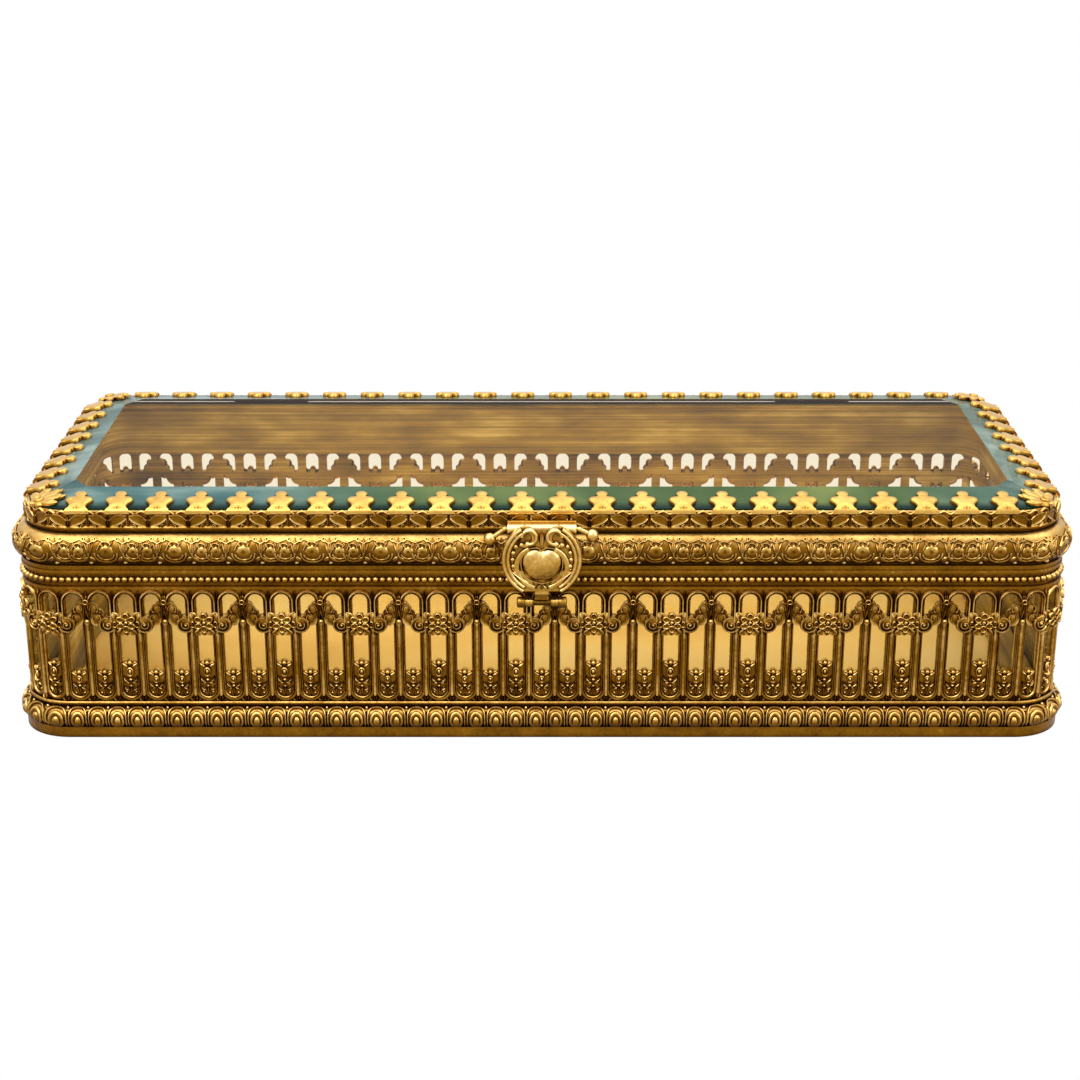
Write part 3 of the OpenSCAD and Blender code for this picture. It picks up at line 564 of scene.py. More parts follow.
# %% Rings to wrap along
def ring(name, width, depth, radius, shares):
    """A rounded rectangle of points from the left end of the front, counter-clockwise.

    Shares is how many points the front, the first corner, the right side and so on get."""
    spans = (width - 2 * radius, depth - 2 * radius)
    points, outs = [], []
    for k in range(4):
        turn = k * math.pi / 2
        span, across = spans[k % 2], spans[(k + 1) % 2]
        straight, bent = shares[2 * k : 2 * k + 2]
        c, s = math.cos(turn), math.sin(turn)
        spots = [(span * (j / straight - 0.5), -across / 2 - radius, -math.pi / 2) for j in range(straight)]
        for j in range(bent):
            angle = -math.pi / 2 + j / bent * math.pi / 2
            spots.append((span / 2 + radius * math.cos(angle), -across / 2 + radius * math.sin(angle), angle))
        for x, y, angle in spots:
            points.append(((x * c - y * s) * MM, (x * s + y * c) * MM, 0))
            outs.append((math.cos(angle + turn), math.sin(angle + turn), 0))
    mesh = bpy.data.meshes.new(name)
    mesh.from_pydata(points, [], [])
    mesh.attributes.new("out", "FLOAT_VECTOR", "POINT").data.foreach_set("vector", np.ravel(outs))
    return bpy.data.objects.new(name, mesh)


def even_shares(width, depth, radius, step=0.5):
    """Shares for a ring whose points are evenly spaced."""
    lengths = [width - 2 * radius, radius * math.pi / 2, depth - 2 * radius, radius * math.pi / 2] * 2
    return [round(length / step) for length in lengths]


def ring_length(width, depth, radius):
    """How long the way round is."""
    return 2 * (width + depth - 4 * radius) + 2 * math.pi * radius


POINTS_PER_ARCH = 12
CASE = (CASE_W, CASE_D, CORNER_R)
LID = (LID_W, LID_D, LID_R)
arch_shares = [ARCHES_FRONT, ARCHES_CORNER, ARCHES_SIDE, ARCHES_CORNER,
               ARCHES_BACK, ARCHES_CORNER, ARCHES_SIDE, ARCHES_CORNER]
arch_ring = ring("arch_ring", *CASE, [POINTS_PER_ARCH * n for n in arch_shares])
case_ring = ring("case_ring", *CASE, even_shares(*CASE))
lid_ring = ring("lid_ring", *LID, even_shares(*LID))
case_round = ring_length(*CASE)
lid_round = ring_length(*LID)
print("round the case:", round(case_round, 1), "mm, round the lid:", round(lid_round, 1), "mm")

# %% [markdown]
# Geometry Nodes repeat a motif. The wrapping tree lays out a straight row of copies, with
# Every and Phase to leave some out. Each point of the row looks up its place between two
# points of the ring, and its depth in the row becomes a distance out of the wall, so that
# ornament keeps its relief round the corners.


# %% The wrapping tree
def geometry_tree(name, **inputs):
    """A geometry tree with these named inputs, and the sockets that bring them in."""
    tree = bpy.data.node_groups.new(name, "GeometryNodeTree")
    for label, kind in inputs.items():
        tree.interface.new_socket(label, in_out="INPUT", socket_type="NodeSocket" + kind)
    tree.interface.new_socket("Geometry", in_out="OUTPUT", socket_type="NodeSocketGeometry")
    return tree, add(tree, "NodeGroupInput").outputs


def copies_of_motif(tree, given, how):
    """Real copies of the motif."""
    motif = add(tree, "GeometryNodeObjectInfo", {"Object": given["Motif"]}).outputs["Geometry"]
    copies = add(tree, "GeometryNodeInstanceOnPoints", {"Instance": motif, **how})
    return add(tree, "GeometryNodeRealizeInstances", [copies])


def dress_and_end(tree, given, geometry):
    """Ends a tree in Realize Instances and Set Material."""
    real = add(tree, "GeometryNodeRealizeInstances", [geometry])
    dressed = add(tree, "GeometryNodeSetMaterial", {"Geometry": real, "Material": given["Material"]})
    add(tree, "NodeGroupOutput", [dressed])
    print(tree.name, "has", len(tree.nodes), "nodes")
    return tree


def wrapping_tree():
    """Repeats a motif in a row and lays the row round a ring."""
    tree, given = geometry_tree("wrap along a ring", Motif="Object", Ring="Object", Count="Int",
                                Pitch="Float", Every="Int", Phase="Int", Material="Material")
    half = add(tree, "ShaderNodeMath", [given["Pitch"], 0.5], operation="MULTIPLY")
    middle = add(tree, "ShaderNodeCombineXYZ", [half])
    step = add(tree, "ShaderNodeCombineXYZ", [given["Pitch"]])
    row = {"Count": given["Count"], "Start Location": middle, "Offset": step}
    row = add(tree, "GeometryNodeMeshLine", row)
    turn = [add(tree, "GeometryNodeInputIndex"), given["Every"]]
    turn = add(tree, "ShaderNodeMath", turn, operation="FLOORED_MODULO")
    chosen = add(tree, "ShaderNodeMath", [turn, given["Phase"], 0.5], operation="COMPARE")
    flat = copies_of_motif(tree, given, {"Points": row, "Selection": chosen})

    position = add(tree, "GeometryNodeInputPosition")
    own = add(tree, "ShaderNodeSeparateXYZ", [position]).outputs
    outline = add(tree, "GeometryNodeObjectInfo", {"Object": given["Ring"]}).outputs["Geometry"]
    size = add(tree, "GeometryNodeAttributeDomainSize", {"Geometry": outline}).outputs["Point Count"]
    length = add(tree, "ShaderNodeMath", [given["Count"], given["Pitch"]], operation="MULTIPLY")
    done = add(tree, "ShaderNodeMath", [own["X"], length], operation="DIVIDE")
    along = add(tree, "ShaderNodeMath", [done, size], operation="MULTIPLY")
    below = add(tree, "ShaderNodeMath", [along], operation="FLOOR")
    past = add(tree, "ShaderNodeMath", [along, below], operation="SUBTRACT")
    next_one = add(tree, "ShaderNodeMath", [below, 1], operation="ADD")
    places = [add(tree, "ShaderNodeMath", [spot, size], operation="FLOORED_MODULO")
              for spot in (below, next_one)]

    def between(value):
        """What the ring holds at this place, from its two nearest points."""
        ends = [add(tree, "GeometryNodeSampleIndex", {"Geometry": outline, "Value": value, "Index": place},
                    data_type="FLOAT_VECTOR") for place in places]
        blend = {0: past, 4: ends[0], 5: ends[1]}
        return add(tree, "ShaderNodeMix", blend, data_type="VECTOR").outputs[1]

    out = add(tree, "GeometryNodeInputNamedAttribute", {"Name": "out"}, data_type="FLOAT_VECTOR")
    reach = add(tree, "ShaderNodeMath", [own["Y"], -1], operation="MULTIPLY")
    outwards = add(tree, "ShaderNodeVectorMath", {0: between(out), "Scale": reach}, operation="SCALE")
    up = add(tree, "ShaderNodeCombineXYZ", {"Z": own["Z"]})
    offset = add(tree, "ShaderNodeVectorMath", [outwards, up], operation="ADD")
    place = add(tree, "ShaderNodeVectorMath", [between(position), offset], operation="ADD")
    laid = add(tree, "GeometryNodeSetPosition", {"Geometry": flat, "Position": place})
    return dress_and_end(tree, given, laid)


wrap_tree = wrapping_tree()

# %% [markdown]
# The claws on the lid don't follow an even pitch round the ring, so they are set on spots
# instead. Each spot is a point that carries its own turn, which a second, smaller tree reads.


# %% The placing tree
def placing_tree():
    """Puts a copy of a motif on each point of a mesh, turned as the point's attribute says."""
    tree, given = geometry_tree("place on spots", Motif="Object", Spots="Object", Material="Material")
    spots = add(tree, "GeometryNodeObjectInfo", {"Object": given["Spots"]}).outputs["Geometry"]
    turn = add(tree, "GeometryNodeInputNamedAttribute", {"Name": "turn"}, data_type="FLOAT_VECTOR")
    return dress_and_end(tree, given, copies_of_motif(tree, given, {"Points": spots, "Rotation": turn}))


place_tree = placing_tree()

# %% [markdown]
# A tree works as a modifier, but the frame needs plain meshes that ride on a body. So the
# tree runs on a carrier object that is thrown away, and the meshes of one ornament become
# one named piece, smooth except at its sharp edges.

# %% Pieces from the trees
SHARP_ANGLE = math.radians(50)


def grow(tree, **values):
    """The plain mesh that a tree makes from these inputs."""
    carrier = bpy.data.objects.new("carrier", bpy.data.meshes.new("carrier"))
    bpy.context.scene.collection.objects.link(carrier)
    modifier = carrier.modifiers.new("nodes", "NODES")
    modifier.node_group = tree
    for item in tree.interface.items_tree:
        if item.in_out == "INPUT":
            modifier[item.identifier] = values[item.name]
    bpy.context.view_layer.update()
    grown = bpy.data.meshes.new_from_object(carrier.evaluated_get(bpy.context.evaluated_depsgraph_get()))
    bpy.data.objects.remove(carrier)
    return grown


def finish_piece(name, meshes, body="case", slot="gilt_bronze"):
    """Joins meshes into one named piece that rides on a body."""
    whole = bmesh.new()
    for mesh in meshes:
        whole.from_mesh(mesh)
    mesh = bpy.data.meshes.new(name)
    whole.to_mesh(mesh)
    whole.free()
    mesh.materials.append(castings[slot])
    mesh.shade_smooth()
    mesh.set_sharp_from_angle(angle=SHARP_ANGLE)
    piece = bpy.data.objects.new(name, mesh)
    bpy.context.scene.collection.objects.link(piece)
    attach(piece, body)
    print(name, len(mesh.polygons), "faces")
    return piece


def wrapped(motif, lay, row, every=1, phase=0):
    """A motif repeated along a row: its ring, how many it holds and the width of one as drawn."""
    along, count, pitch = row
    source = bpy.data.objects.new("motif", motif.mesh("motif", lay))
    return grow(wrap_tree, Motif=source, Ring=along, Count=count, Pitch=pitch * MM, Every=every,
                Phase=phase, Material=castings["gilt_bronze"])


def placed(motif, lay, spots):
    """A motif copied to spots (x, y, turn in degrees) in the row frame."""
    mesh = bpy.data.meshes.new("spots")
    mesh.from_pydata([(x * MM, y * MM, 0) for x, y, turn in spots], [], [])
    turns = [(0, 0, math.radians(turn)) for x, y, turn in spots]
    mesh.attributes.new("turn", "FLOAT_VECTOR", "POINT").data.foreach_set("vector", np.ravel(turns))
    source = bpy.data.objects.new("motif", motif.mesh("motif", lay))
    return grow(place_tree, Motif=source, Spots=bpy.data.objects.new("spots", mesh),
                Material=castings["gilt_claws"])


arch_row = (arch_ring, arches, arch)
wall = on_wall(0)
print("the gallery's row holds", arches, "arches")

# %% [markdown]
# ### Gallery
# The gallery is a pierced sheet with reeds on its pillars and rings over its arches. The
# pierced sheet is in the construction model; its relief is too fine for it and is laid on
# here. A broad reed runs up each pillar, a thin fillet goes round each window and its foot,
# and a palmette fills the foot. Drawing one arch and wrapping it keeps all of them in step.

# %% Arches
REED_FOOT = 13.4
RING_R = 3.3
FILLET_R, FILLET_MIDDLE = 2.66, 28


def pillar():
    """The reed of a pillar, half an arch to the right, with leaves at its foot and a dart on top."""
    m = Motif().rib([(0, z) for z in (REED_FOOT, 20, 30, SWAG_Z - 0.2)], 1.35, 1.2, across=7)
    m.leaf((0, ARCH_Z + 3.4), (0, ARCH_Z - 2.6), 1.0, 1.0, full=0.3)
    m.leaves((0.2, 11.4), (1.7, 13.0), 1.0, 0.8, 0.3, steps=5)
    m.leaf((0, 11.2), (0, 15.6), 1.3, 1.5, full=0.35, steps=6)
    return m.shift(arch / 2)


def hood():
    """The ring over one arch, and the fillet round its window and foot."""
    head = arc(0, ARCH_Z, RING_R, 0, 180, 12)
    m = Motif().rib([(RING_R, SWAG_Z - 0.4), *head, (-RING_R, SWAG_Z - 0.4)], 0.95, 1.05)
    return m.rib([*arc(0, FOOT_Z, FILLET_R, 180, 360, 12), (FILLET_R, FILLET_MIDDLE),
                  *arc(0, ARCH_Z, FILLET_R, 0, 180, 12), (-FILLET_R, FILLET_MIDDLE)],
                 0.62, 0.8, closed=True, across=4)


def short_palmette():
    """Ringed bud, two pairs of leaves and a drop in the foot of an open arch; z = 0 is its sill."""
    m = Motif()
    m.dome(0, -0.2, 1.5, 1.5, 0.8, around=10)
    m.leaves((0.5, -1.1), (2.3, -0.1), 1.2, 0.7, -0.2, steps=6)
    m.cup(0, -2.4, 1.8, 2.7, 0.9, deep=0.35)
    m.dome(0, -2.4, 1.0, 1.7, 0.8, base=0.3, around=8, rings=3)
    m.leaves((0.2, -4.7), (2.1, -3.2), 1.1, 0.85, 0.4, steps=6)
    m.dome(0, -4.5, 1.1, 1.1, 0.95, around=8, rings=3)
    m.leaves((0.2, -5.0), (1.8, -5.9), 1.0, 0.75, -0.3, steps=5)
    m.both(lambda s: m.dome(s * 1.3, -7.0, 0.9, 0.8, 0.5, around=8, rings=3))
    m.leaf((0, -4.9), (0, -7.9), 1.3, 0.85, section=(0.8, 0.5, 0.9), steps=6)
    return m.shift(z=SIDE_SILL_Z)


def tall_palmette():
    """The taller ornament under a flower: a ringed oval, three pairs of leaves and a longer drop."""
    m = Motif()
    m.dome(0, -0.2, 1.6, 1.5, 0.85, around=10)
    m.leaves((0.5, -1.2), (2.3, -0.2), 1.3, 0.75, -0.2, steps=6)
    m.cup(0, -3.0, 2.3, 3.4, 1.05)
    m.dome(0, -3.0, 1.3, 2.1, 0.85, base=0.35, around=10, rings=3)
    m.leaves((0.2, -6.1), (2.1, -4.4), 1.2, 0.9, 0.5, steps=7)
    m.dome(0, -5.6, 1.2, 1.3, 1.05, around=8, rings=3)
    m.leaves((0.2, -6.4), (1.9, -7.0), 1.1, 0.8, -0.3, steps=5)
    m.leaves((0.2, -8.9), (2.0, -7.7), 1.1, 0.85, 0.4, steps=6)
    m.dome(0, -7.6, 1.1, 1.1, 1.0, around=8, rings=3)
    m.both(lambda s: m.dome(s * 1.4, -9.8, 0.9, 0.8, 0.5, around=8, rings=3))
    m.leaf((0, -8.2), (0, -11.1), 1.4, 0.9, section=(0.8, 0.5, 0.9), steps=6)
    return m.shift(z=MID_SILL_Z)


finish_piece("gallery_reeds", [wrapped(pillar(), wall, arch_row), wrapped(hood(), wall, arch_row)])
feet = [short_palmette] * ARCHES_PER_SWAG
feet[SWAG_PHASE] = tall_palmette
finish_piece("gallery_palmettes", [wrapped(foot(), wall, arch_row, ARCHES_PER_SWAG, k)
                                   for k, foot in enumerate(feet)])

# %% [markdown]
# Every third arch carries the flower of a garland, which hangs across the pillars. On
# either side of the flower come a round lobe with a scroll and two lumps of leaf, and the
# garland climbs to a tassel on the pillar half-way to the next flower. It is the richest
# casting on the box, so it is built from many small shells that overlap as leaves do.


# %% Garland
def garland():
    """Flower, round lobes with scrolls, lumps of leaf, and the tassel on the pillar to the right."""
    m = Motif()
    petal = {"section": (0.7, 0.8, 0.4), "full": 0.6, "base": 0.5, "steps": 6}
    for angle in range(30, 390, 60):
        c, s = math.cos(math.radians(angle)), math.sin(math.radians(angle))
        m.cup(1.95 * c, 0.3 + 2.05 * s, 2.6, 2.2, 1.15, base=SWAG_T, turn=angle, around=10, deep=0.3)
    m.dome(0, 0.3, 1.7, 1.7, 1.3, base=SWAG_T, pit=0.2)
    m.leaf((0, -2.0), (0, -4.2), 2.4, 0.9, base=0.5, full=0.6, steps=6)

    def side(s):
        m.dome(s * 5.6, -0.5, 5.7, 5.5, 0.5, base=SWAG_T - 0.35, around=18, rings=3)
        m.rib(arc(s * 5.6, -0.5, 2.35, 90 - s * 240, 90 + s * 10, 11), 0.8, 0.9, SWAG_T - 0.1)
        m.rib(volute(s * 5.5, -0.6, 1.45, s * -1.1, 90 - s * 60, steps=10), 0.75, 0.75, SWAG_T)
        m.dome(s * 5.5, -0.6, 1.1, 1.1, 1.0, base=SWAG_T, around=8, rings=3)
        m.cup(s * 3.4, -0.4, 1.5, 2.4, 0.95, base=0.6, around=10)
        m.dome(s * 8.7, 1.7, 2.7, 3.0, 0.55, base=0.85, turn=s * -30, around=12, rings=3)
        m.rib(arc(s * 8.7, 1.7, 1.2, 90 + s * 150, 90 - s * 120, 8), 0.6, 0.75, SWAG_T + 0.15, taper=0.4)
        m.dome(s * 9.4, 4.6, 2.7, 3.3, 0.65, base=0.85, turn=s * 25, around=12, rings=3)
        m.rib(arc(s * 9.4, 4.7, 1.25, 90 + s * 140, 90 - s * 110, 8), 0.6, 0.8, SWAG_T + 0.2, taper=0.4)

    m.both(side)
    m.leaves((1.4, -1.6), (2.9, -3.9), 2.2, 0.95, 0.5, **petal)
    m.leaves((3.7, -2.6), (5.0, -4.4), 1.5, 0.9, 0.5, base=0.5, steps=5)
    m.leaves((2.9, 0.8), (4.1, 3.3), 2.1, 1.0, -0.5, **petal)
    m.leaves((7.2, -0.6), (10.4, 2.9), 3.2, 0.8, 0.5, base=0.4, section=(0.8, 0.8, 0.4), steps=5)
    m.leaves((8.0, 1.9), (7.8, 4.4), 1.3, 0.9, -0.4, base=0.5, steps=5)
    post = 1.5 * arch
    m.cup(post, 7.0, 1.8, 1.8, 1.0, base=0.8, around=10)
    m.leaves((0.1, 6.6), (0.8, 1.0), 1.5, 1.15, middle=post, base=0.8, full=0.35, steps=6)
    m.leaf((post, 7.6), (post, 9.2), 1.0, 0.8, base=0.8, steps=5)
    m.dome(post, 0.5, 1.7, 1.7, 1.0, base=0.8, around=10)
    m.rib([(post, 0.2), (post, -1.2), (post, -2.8)], 1.5, 0.9, 0.8, taper=0.5)
    return m.shift(z=SWAG_Z)


finish_piece("gallery_garlands", [wrapped(garland(), wall, arch_row, ARCHES_PER_SWAG, SWAG_PHASE)])

# %% [markdown]
# ### Mouldings of the case
# A course of beads stands in its groove between the gallery and the rim. Half domes are
# enough, because their backs are sunk in the ground.

# %% Beads
BEAD_PITCH = 2.1

beads = round(case_round / BEAD_PITCH)
bead = Motif().dome(0, BEAD_Z, 2.25, 2.4, 1.5, base=BEAD_GROUND + 0.1, around=12)
finish_piece("beads", [wrapped(bead, wall, (case_ring, beads, case_round / beads))])

# %% [markdown]
# Eggs in horseshoe rings run round the rounded foot, with a dart between two: the old egg
# and dart. The motif is drawn flat and laid round the roll of the moulding, which is simpler
# than drawing it bent.

# %% Eggs
EGG_PITCH = 6.1


def egg():
    """An egg in its horseshoe, and the dart to its right."""
    m = Motif()
    m.rib([(2.0, -4.1), (2.6, -2.8), (2.65, -0.6), *arc(0, 1.1, 2.65, 0, 180, 10), (-2.65, -0.6),
           (-2.6, -2.8), (-2.0, -4.1)], 0.62, 0.75)
    m.cup(0, -0.5, 4.3, 6.0, 0.75, around=16, deep=0.75)
    m.dome(0, -1.0, 2.5, 4.0, 1.1, base=-0.1, around=14, rings=5)
    m.leaf((EGG_PITCH / 2, 2.6), (EGG_PITCH / 2, -3.0), 0.95, 0.85)
    m.dome(EGG_PITCH / 2, 3.7, 1.1, 1.1, 0.8, around=8, rings=3)
    return m


eggs = round(case_round / EGG_PITCH)
egg_row = (case_ring, eggs, case_round / eggs)
finish_piece("egg_moulding", [wrapped(egg(), on_roll(EGG_OUT, EGG_Z, EGG_R), egg_row)])

# %% [markdown]
# Small festoons hang under the plain crown of the rim. Those of two fruits and of one fruit
# take turns, so their number is even, and one function draws both from a list of fruits.
# They are kept low, because the clasp closes over two of them.

# %% Festoons
FESTOON_PITCH = 10.35
FRUITS = [[(-2.1, 3.3), (2.1, 3.3)], [(0, 4.2)]]


def festoon(fruits):
    """One swag under the rim with its fruits (place, size), and the leaf and diamond at its right end."""
    m = Motif()
    half = FESTOON_PITCH / 2
    for x, size in fruits:
        m.rib(arc(x, -0.9, size / 2 + 1.35, 175, 365, 8), 0.7, 0.5)
        m.rib(arc(x, -0.7, size / 2 + 0.55, 190, 350, 6), 0.6, 0.4)
        m.dome(x, -0.3, size, size * 0.94, 0.36, around=10, pit=0.12)
        m.leaves((0.3, size / 2 - 0.8), (size * 0.5, size / 2 + 1.1), 1.2, 0.55, 0.3, middle=x, steps=5)
        m.rib(curve((x - size * 0.62, 0.2), (x - size * 0.25, size / 2 + 0.4), (x + size * 0.3, size / 2),
                    (x + size * 0.25, size / 2 - 0.9), steps=2), 0.5, 0.6)
        m.leaf((x, -size / 2 - 1.6), (x, -5.4), 1.3, 0.5, steps=5)
    m.rib(curve((-half, 2.0), (-half / 2, 3.2), (0, 2.4), (half / 2, 3.2), (half, 2.0), steps=3), 0.5, 0.45)
    m.both(lambda s: m.rib(volute(half + s * 1.7, 3.3, 0.85, s * 1.1, 90 + s * 120, steps=7), 0.45, 0.5))
    m.leaf((half, -1.6), (half, 4.0), 1.4, 0.6, full=0.35)
    m.leaves((0.2, -1.6), (1.6, 2.6), 1.4, 0.55, -0.45, middle=half, steps=6)
    m.leaves((0.2, -2.0), (1.8, -4.6), 1.4, 0.5, -0.3, middle=half, steps=5)
    m.dome(half, -5.3, 1.6, 1.8, 0.6, around=4, rings=3)
    return m.shift(z=0.5)


festoons = 2 * round(case_round / FESTOON_PITCH / 2)
festoon_row = (case_ring, festoons, case_round / festoons)
swags = [wrapped(festoon(fruits), on_roll(RIM_OUT, RIM_Z, RIM_R), festoon_row, len(FRUITS), k)
         for k, fruits in enumerate(FRUITS)]
finish_piece("rim_festoons", swags)

# %% [markdown]
# Inside the rim runs a plain sheet that is rolled over at its top. It takes the place of the
# model's band, and laps 0.6 mm over the heads of the panes, so that the round heads of the
# far arches show under it. One outline swept round a ring makes it in a single shell.

# %% Inner band
BAND_IN, BAND_OUT_FACE, BAND_FOOT = -4.6, -3.5, 47.4
ROLL_OUT, ROLL_Z, ROLL_R, ROLL_END = -4.4, 64.8, 0.9, 257

band_ring = ring("band_ring", *CASE, [8, 24] * 4)
profile = [(BAND_IN, BAND_FOOT), (BAND_OUT_FACE, BAND_FOOT), *arc(ROLL_OUT, ROLL_Z, ROLL_R, 0, ROLL_END, 14)]
spots = np.array([v.co for v in band_ring.data.vertices]) / MM
outs = np.array([a.vector for a in band_ring.data.attributes["out"].data])
sheet = Motif().loft([[(x + out * ox, y + out * oy, z) for out, z in profile]
                      for (x, y, _), (ox, oy, _) in zip(spots, outs)], closed=True)
sheet_mesh = sheet.mesh("sheet", lambda x, y, z: (x, y, z))
inner_sheet = finish_piece("inner_band_sheet", [sheet_mesh], slot="inner_brass")
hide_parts("inner_band")

# %% [markdown]
# ### Lid
# Pairs of veined leaves stand on the lid's frame, under a ruffled lip. The leaves have high
# edges and a high vein with hollows between, which the gilt darkens as patina and painted shade.

# %% Leaf band
BAND_OUT, LIP_OUT = -0.5, -0.95
LEAF_PAIR_PITCH = 12

pairs = round(lid_round / LEAF_PAIR_PITCH)
pair_pitch = lid_round / pairs
pair_row = (lid_ring, pairs, pair_pitch)


def leaf_pair():
    """Two veined leaves that spread from under a claw and curl at their tips."""
    m = Motif()
    hollow = (1.0, 0.35, 0.85)
    m.leaves((0.3, 3.1), (5.7, -0.1), 3.3, 0.55, -0.5, section=hollow, steps=10)
    m.both(lambda s: m.rib(curve((s * 1.6, 3.5), (s * 3.8, 3.1), (s * 5.6, 1.7), steps=3), 0.5, 0.6))
    m.leaf((0, 3.4), (0, -1.0), 1.3, 0.8)
    m.leaves((2.9, -0.9), (0.7, 0.7), 1.2, 0.6, 0.3, section=hollow, steps=5)
    m.leaf((pair_pitch / 2, -0.9), (pair_pitch / 2, 3.2), 1.3, 0.75, section=hollow, steps=6)
    return m.shift(z=LID_BAND_Z)


def ruffle():
    """The low wavy lip along the top of the frame, three waves to a pair of leaves."""
    x = np.linspace(-pair_pitch / 2, pair_pitch / 2, 25)
    z = LID_TOP + 0.05 + 0.4 * np.cos(x / pair_pitch * 6 * math.pi)
    return Motif().rib(np.column_stack([x, z]), 0.75, 0.45)


finish_piece("lid_leaf_band", [wrapped(leaf_pair(), on_wall(BAND_OUT), pair_row),
                               wrapped(ruffle(), on_wall(LIP_OUT), pair_row)], "lid")

# %% [markdown]
# Flat leaf claws bend over the edge of the glass and hold it, with a broad leaf of five
# fingers on each corner. Each claw is cut from sheet, so it is one outline shrunk in steps
# to round its edge. The claws and the plain strip they grow from take the place of the
# model's strips and corner leaves.

# %% Claws
CLAW_SEAT = 0.3
CLAW_HALF = [(3.7, -0.1), (3.05, 0.6), (2.7, 1.5), (2.6, 2.4), (2.75, 3.2), (3.2, 4.0), (3.75, 4.6),
             (4.05, 5.3), (3.95, 6.1), (3.4, 6.8), (2.6, 7.1), (1.85, 7.1), *arc(0, 8.7, 1.8, -35, 90, 7)]
CLAW_ROWS = ((1, -0.35), (1, 0.35), (0.95, 0.62), (0.86, 0.74), (0.6, 0.78), (0.25, 0.82))
FAN_FINGERS = ((0, 9.9), (27, 9.1), (-27, 9.1), (56, 7.1), (-56, 7.1))
STRIP_Z, STRIP_OUT, STRIP_W, STRIP_T = 72.1, -1.95, 0.6, 1.05


def on_bevel(x, z, height):
    """Lays a leaf on the bevel: z runs in from the lid's outline and height stands off the glass."""
    inside = z - PLATE_IN
    lift = CLAW_SEAT + height
    c, s = math.cos(BEVEL_ANGLE), math.sin(BEVEL_ANGLE)
    return (x, PLATE_IN + inside * c - lift * s, BEVEL_Z + inside * s + lift * c)


def claw():
    """A flat leaf with a waist, two broad shoulders and a round tip."""
    m = Motif()
    outline = np.array(CLAW_HALF + [(-x, z) for x, z in CLAW_HALF[-2::-1]])
    middle = np.array([0, 5.0])
    rows = []
    for size, height in CLAW_ROWS:
        x, z = (middle + (outline - middle) * size).T
        drop = 0.3 * np.clip(1.6 - z, 0, 3) ** 1.4
        bow = 0.4 * np.sin(np.clip(z / 8.5, 0, 1) * math.pi / 2) if height > 0 else 0
        rows.append(np.column_stack([x, z, height - drop + bow]))
    m.loft(rows)
    m.dome(0, 8.6, 2.3, 2.3, 0.14, base=1.1)
    m.both(lambda s: m.dome(s * 2.6, 5.5, 1.5, 1.2, 0.14, base=1.05, around=10, rings=3))
    m.leaves((0.7, 0.5), (1.4, 3.0), 0.8, 0.25, base=0.55, steps=5)
    m.leaf((0, 0.4), (0, 4.6), 1.0, 0.3, base=0.65, steps=5)
    return m


def fan():
    """The broad leaf of five fingers (angle, reach) on a corner."""
    m = Motif()
    for angle, reach in FAN_FINGERS:
        c, s = math.sin(math.radians(angle)), math.cos(math.radians(angle))
        m.leaf((-c * 1.5, -s * 1.5), (c * reach, s * reach), 3.0, 0.95, section=(0.7, 0.95, 1.05), full=0.68,
               steps=12)
        m.dome(c * (reach - 2.2), s * (reach - 2.2), 2.4, 2.4, 0.35, base=0.7, around=12)
    m.dome(0, 1.6, 6.6, 5.6, 1.0, around=20)
    m.cup(0, 1.2, 3.4, 3.0, 0.6, base=0.8, around=16)
    return m.shift(z=1.7)


def claw_spots(length, depth, claws, turn):
    """Spots of one row of claws, along the side that this turn brings to the front."""
    span = length - 2 * (LID_R + CLAW_ROW_MARGIN)
    c, s = math.cos(math.radians(turn)), math.sin(math.radians(turn))
    row = [(span * (k / (claws - 1) - 0.5), -depth / 2) for k in range(claws)]
    return [(x * c - y * s, x * s + y * c, turn) for x, y in row]


spots = (claw_spots(LID_W, LID_D, CLAWS_FRONT, 0) + claw_spots(LID_D, LID_W, CLAWS_SIDE, 90)
         + claw_spots(LID_W, LID_D, CLAWS_BACK, 180) + claw_spots(LID_D, LID_W, CLAWS_SIDE, 270))
corner = np.array([LID_W, LID_D]) / 2 - LID_R * (1 - math.sqrt(0.5))
fan_spots = [(sx * corner[0], sy * corner[1], turn)
             for sx, sy, turn in ((1, -1, 45), (1, 1, 135), (-1, 1, 225), (-1, -1, 315))]
strip_path = [(x, STRIP_Z) for x in np.linspace(-0.5, 0.5, 3) * pair_pitch]
strip = Motif().rib(strip_path, STRIP_W, STRIP_T, flat=0.3)
finish_piece("leaf_strip", [wrapped(strip, on_wall(STRIP_OUT), pair_row)], "lid")
claws = finish_piece("leaf_claws", [placed(claw(), on_bevel, spots), placed(fan(), on_bevel, fan_spots)],
                     "lid", "gilt_claws")
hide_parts("leaf_strip_front", "leaf_strip_back", "leaf_strip_left", "leaf_strip_right",
            "corner_leaves")

# %% [markdown]
# ### Clasp
# The clasp is a cast shield that hangs from a pin on the lid and closes over a keeper bar.
# Its relief rides with it: two scrolls, a band that hugs the boss, a double rim and a leaf
# at either side. It is drawn with the pin at its origin, so its sizes can be read off one
# place. The keeper has a turned sleeve and a collar at each end.

# %% Clasp ornament
COLLAR = ((2.5, 1.1), (2.6, 1.3), (5.0, 1.3), (5.1, 1.6), (5.4, 1.7), (7.1, 1.7), (7.4, 1.5), (7.5, 0.9))


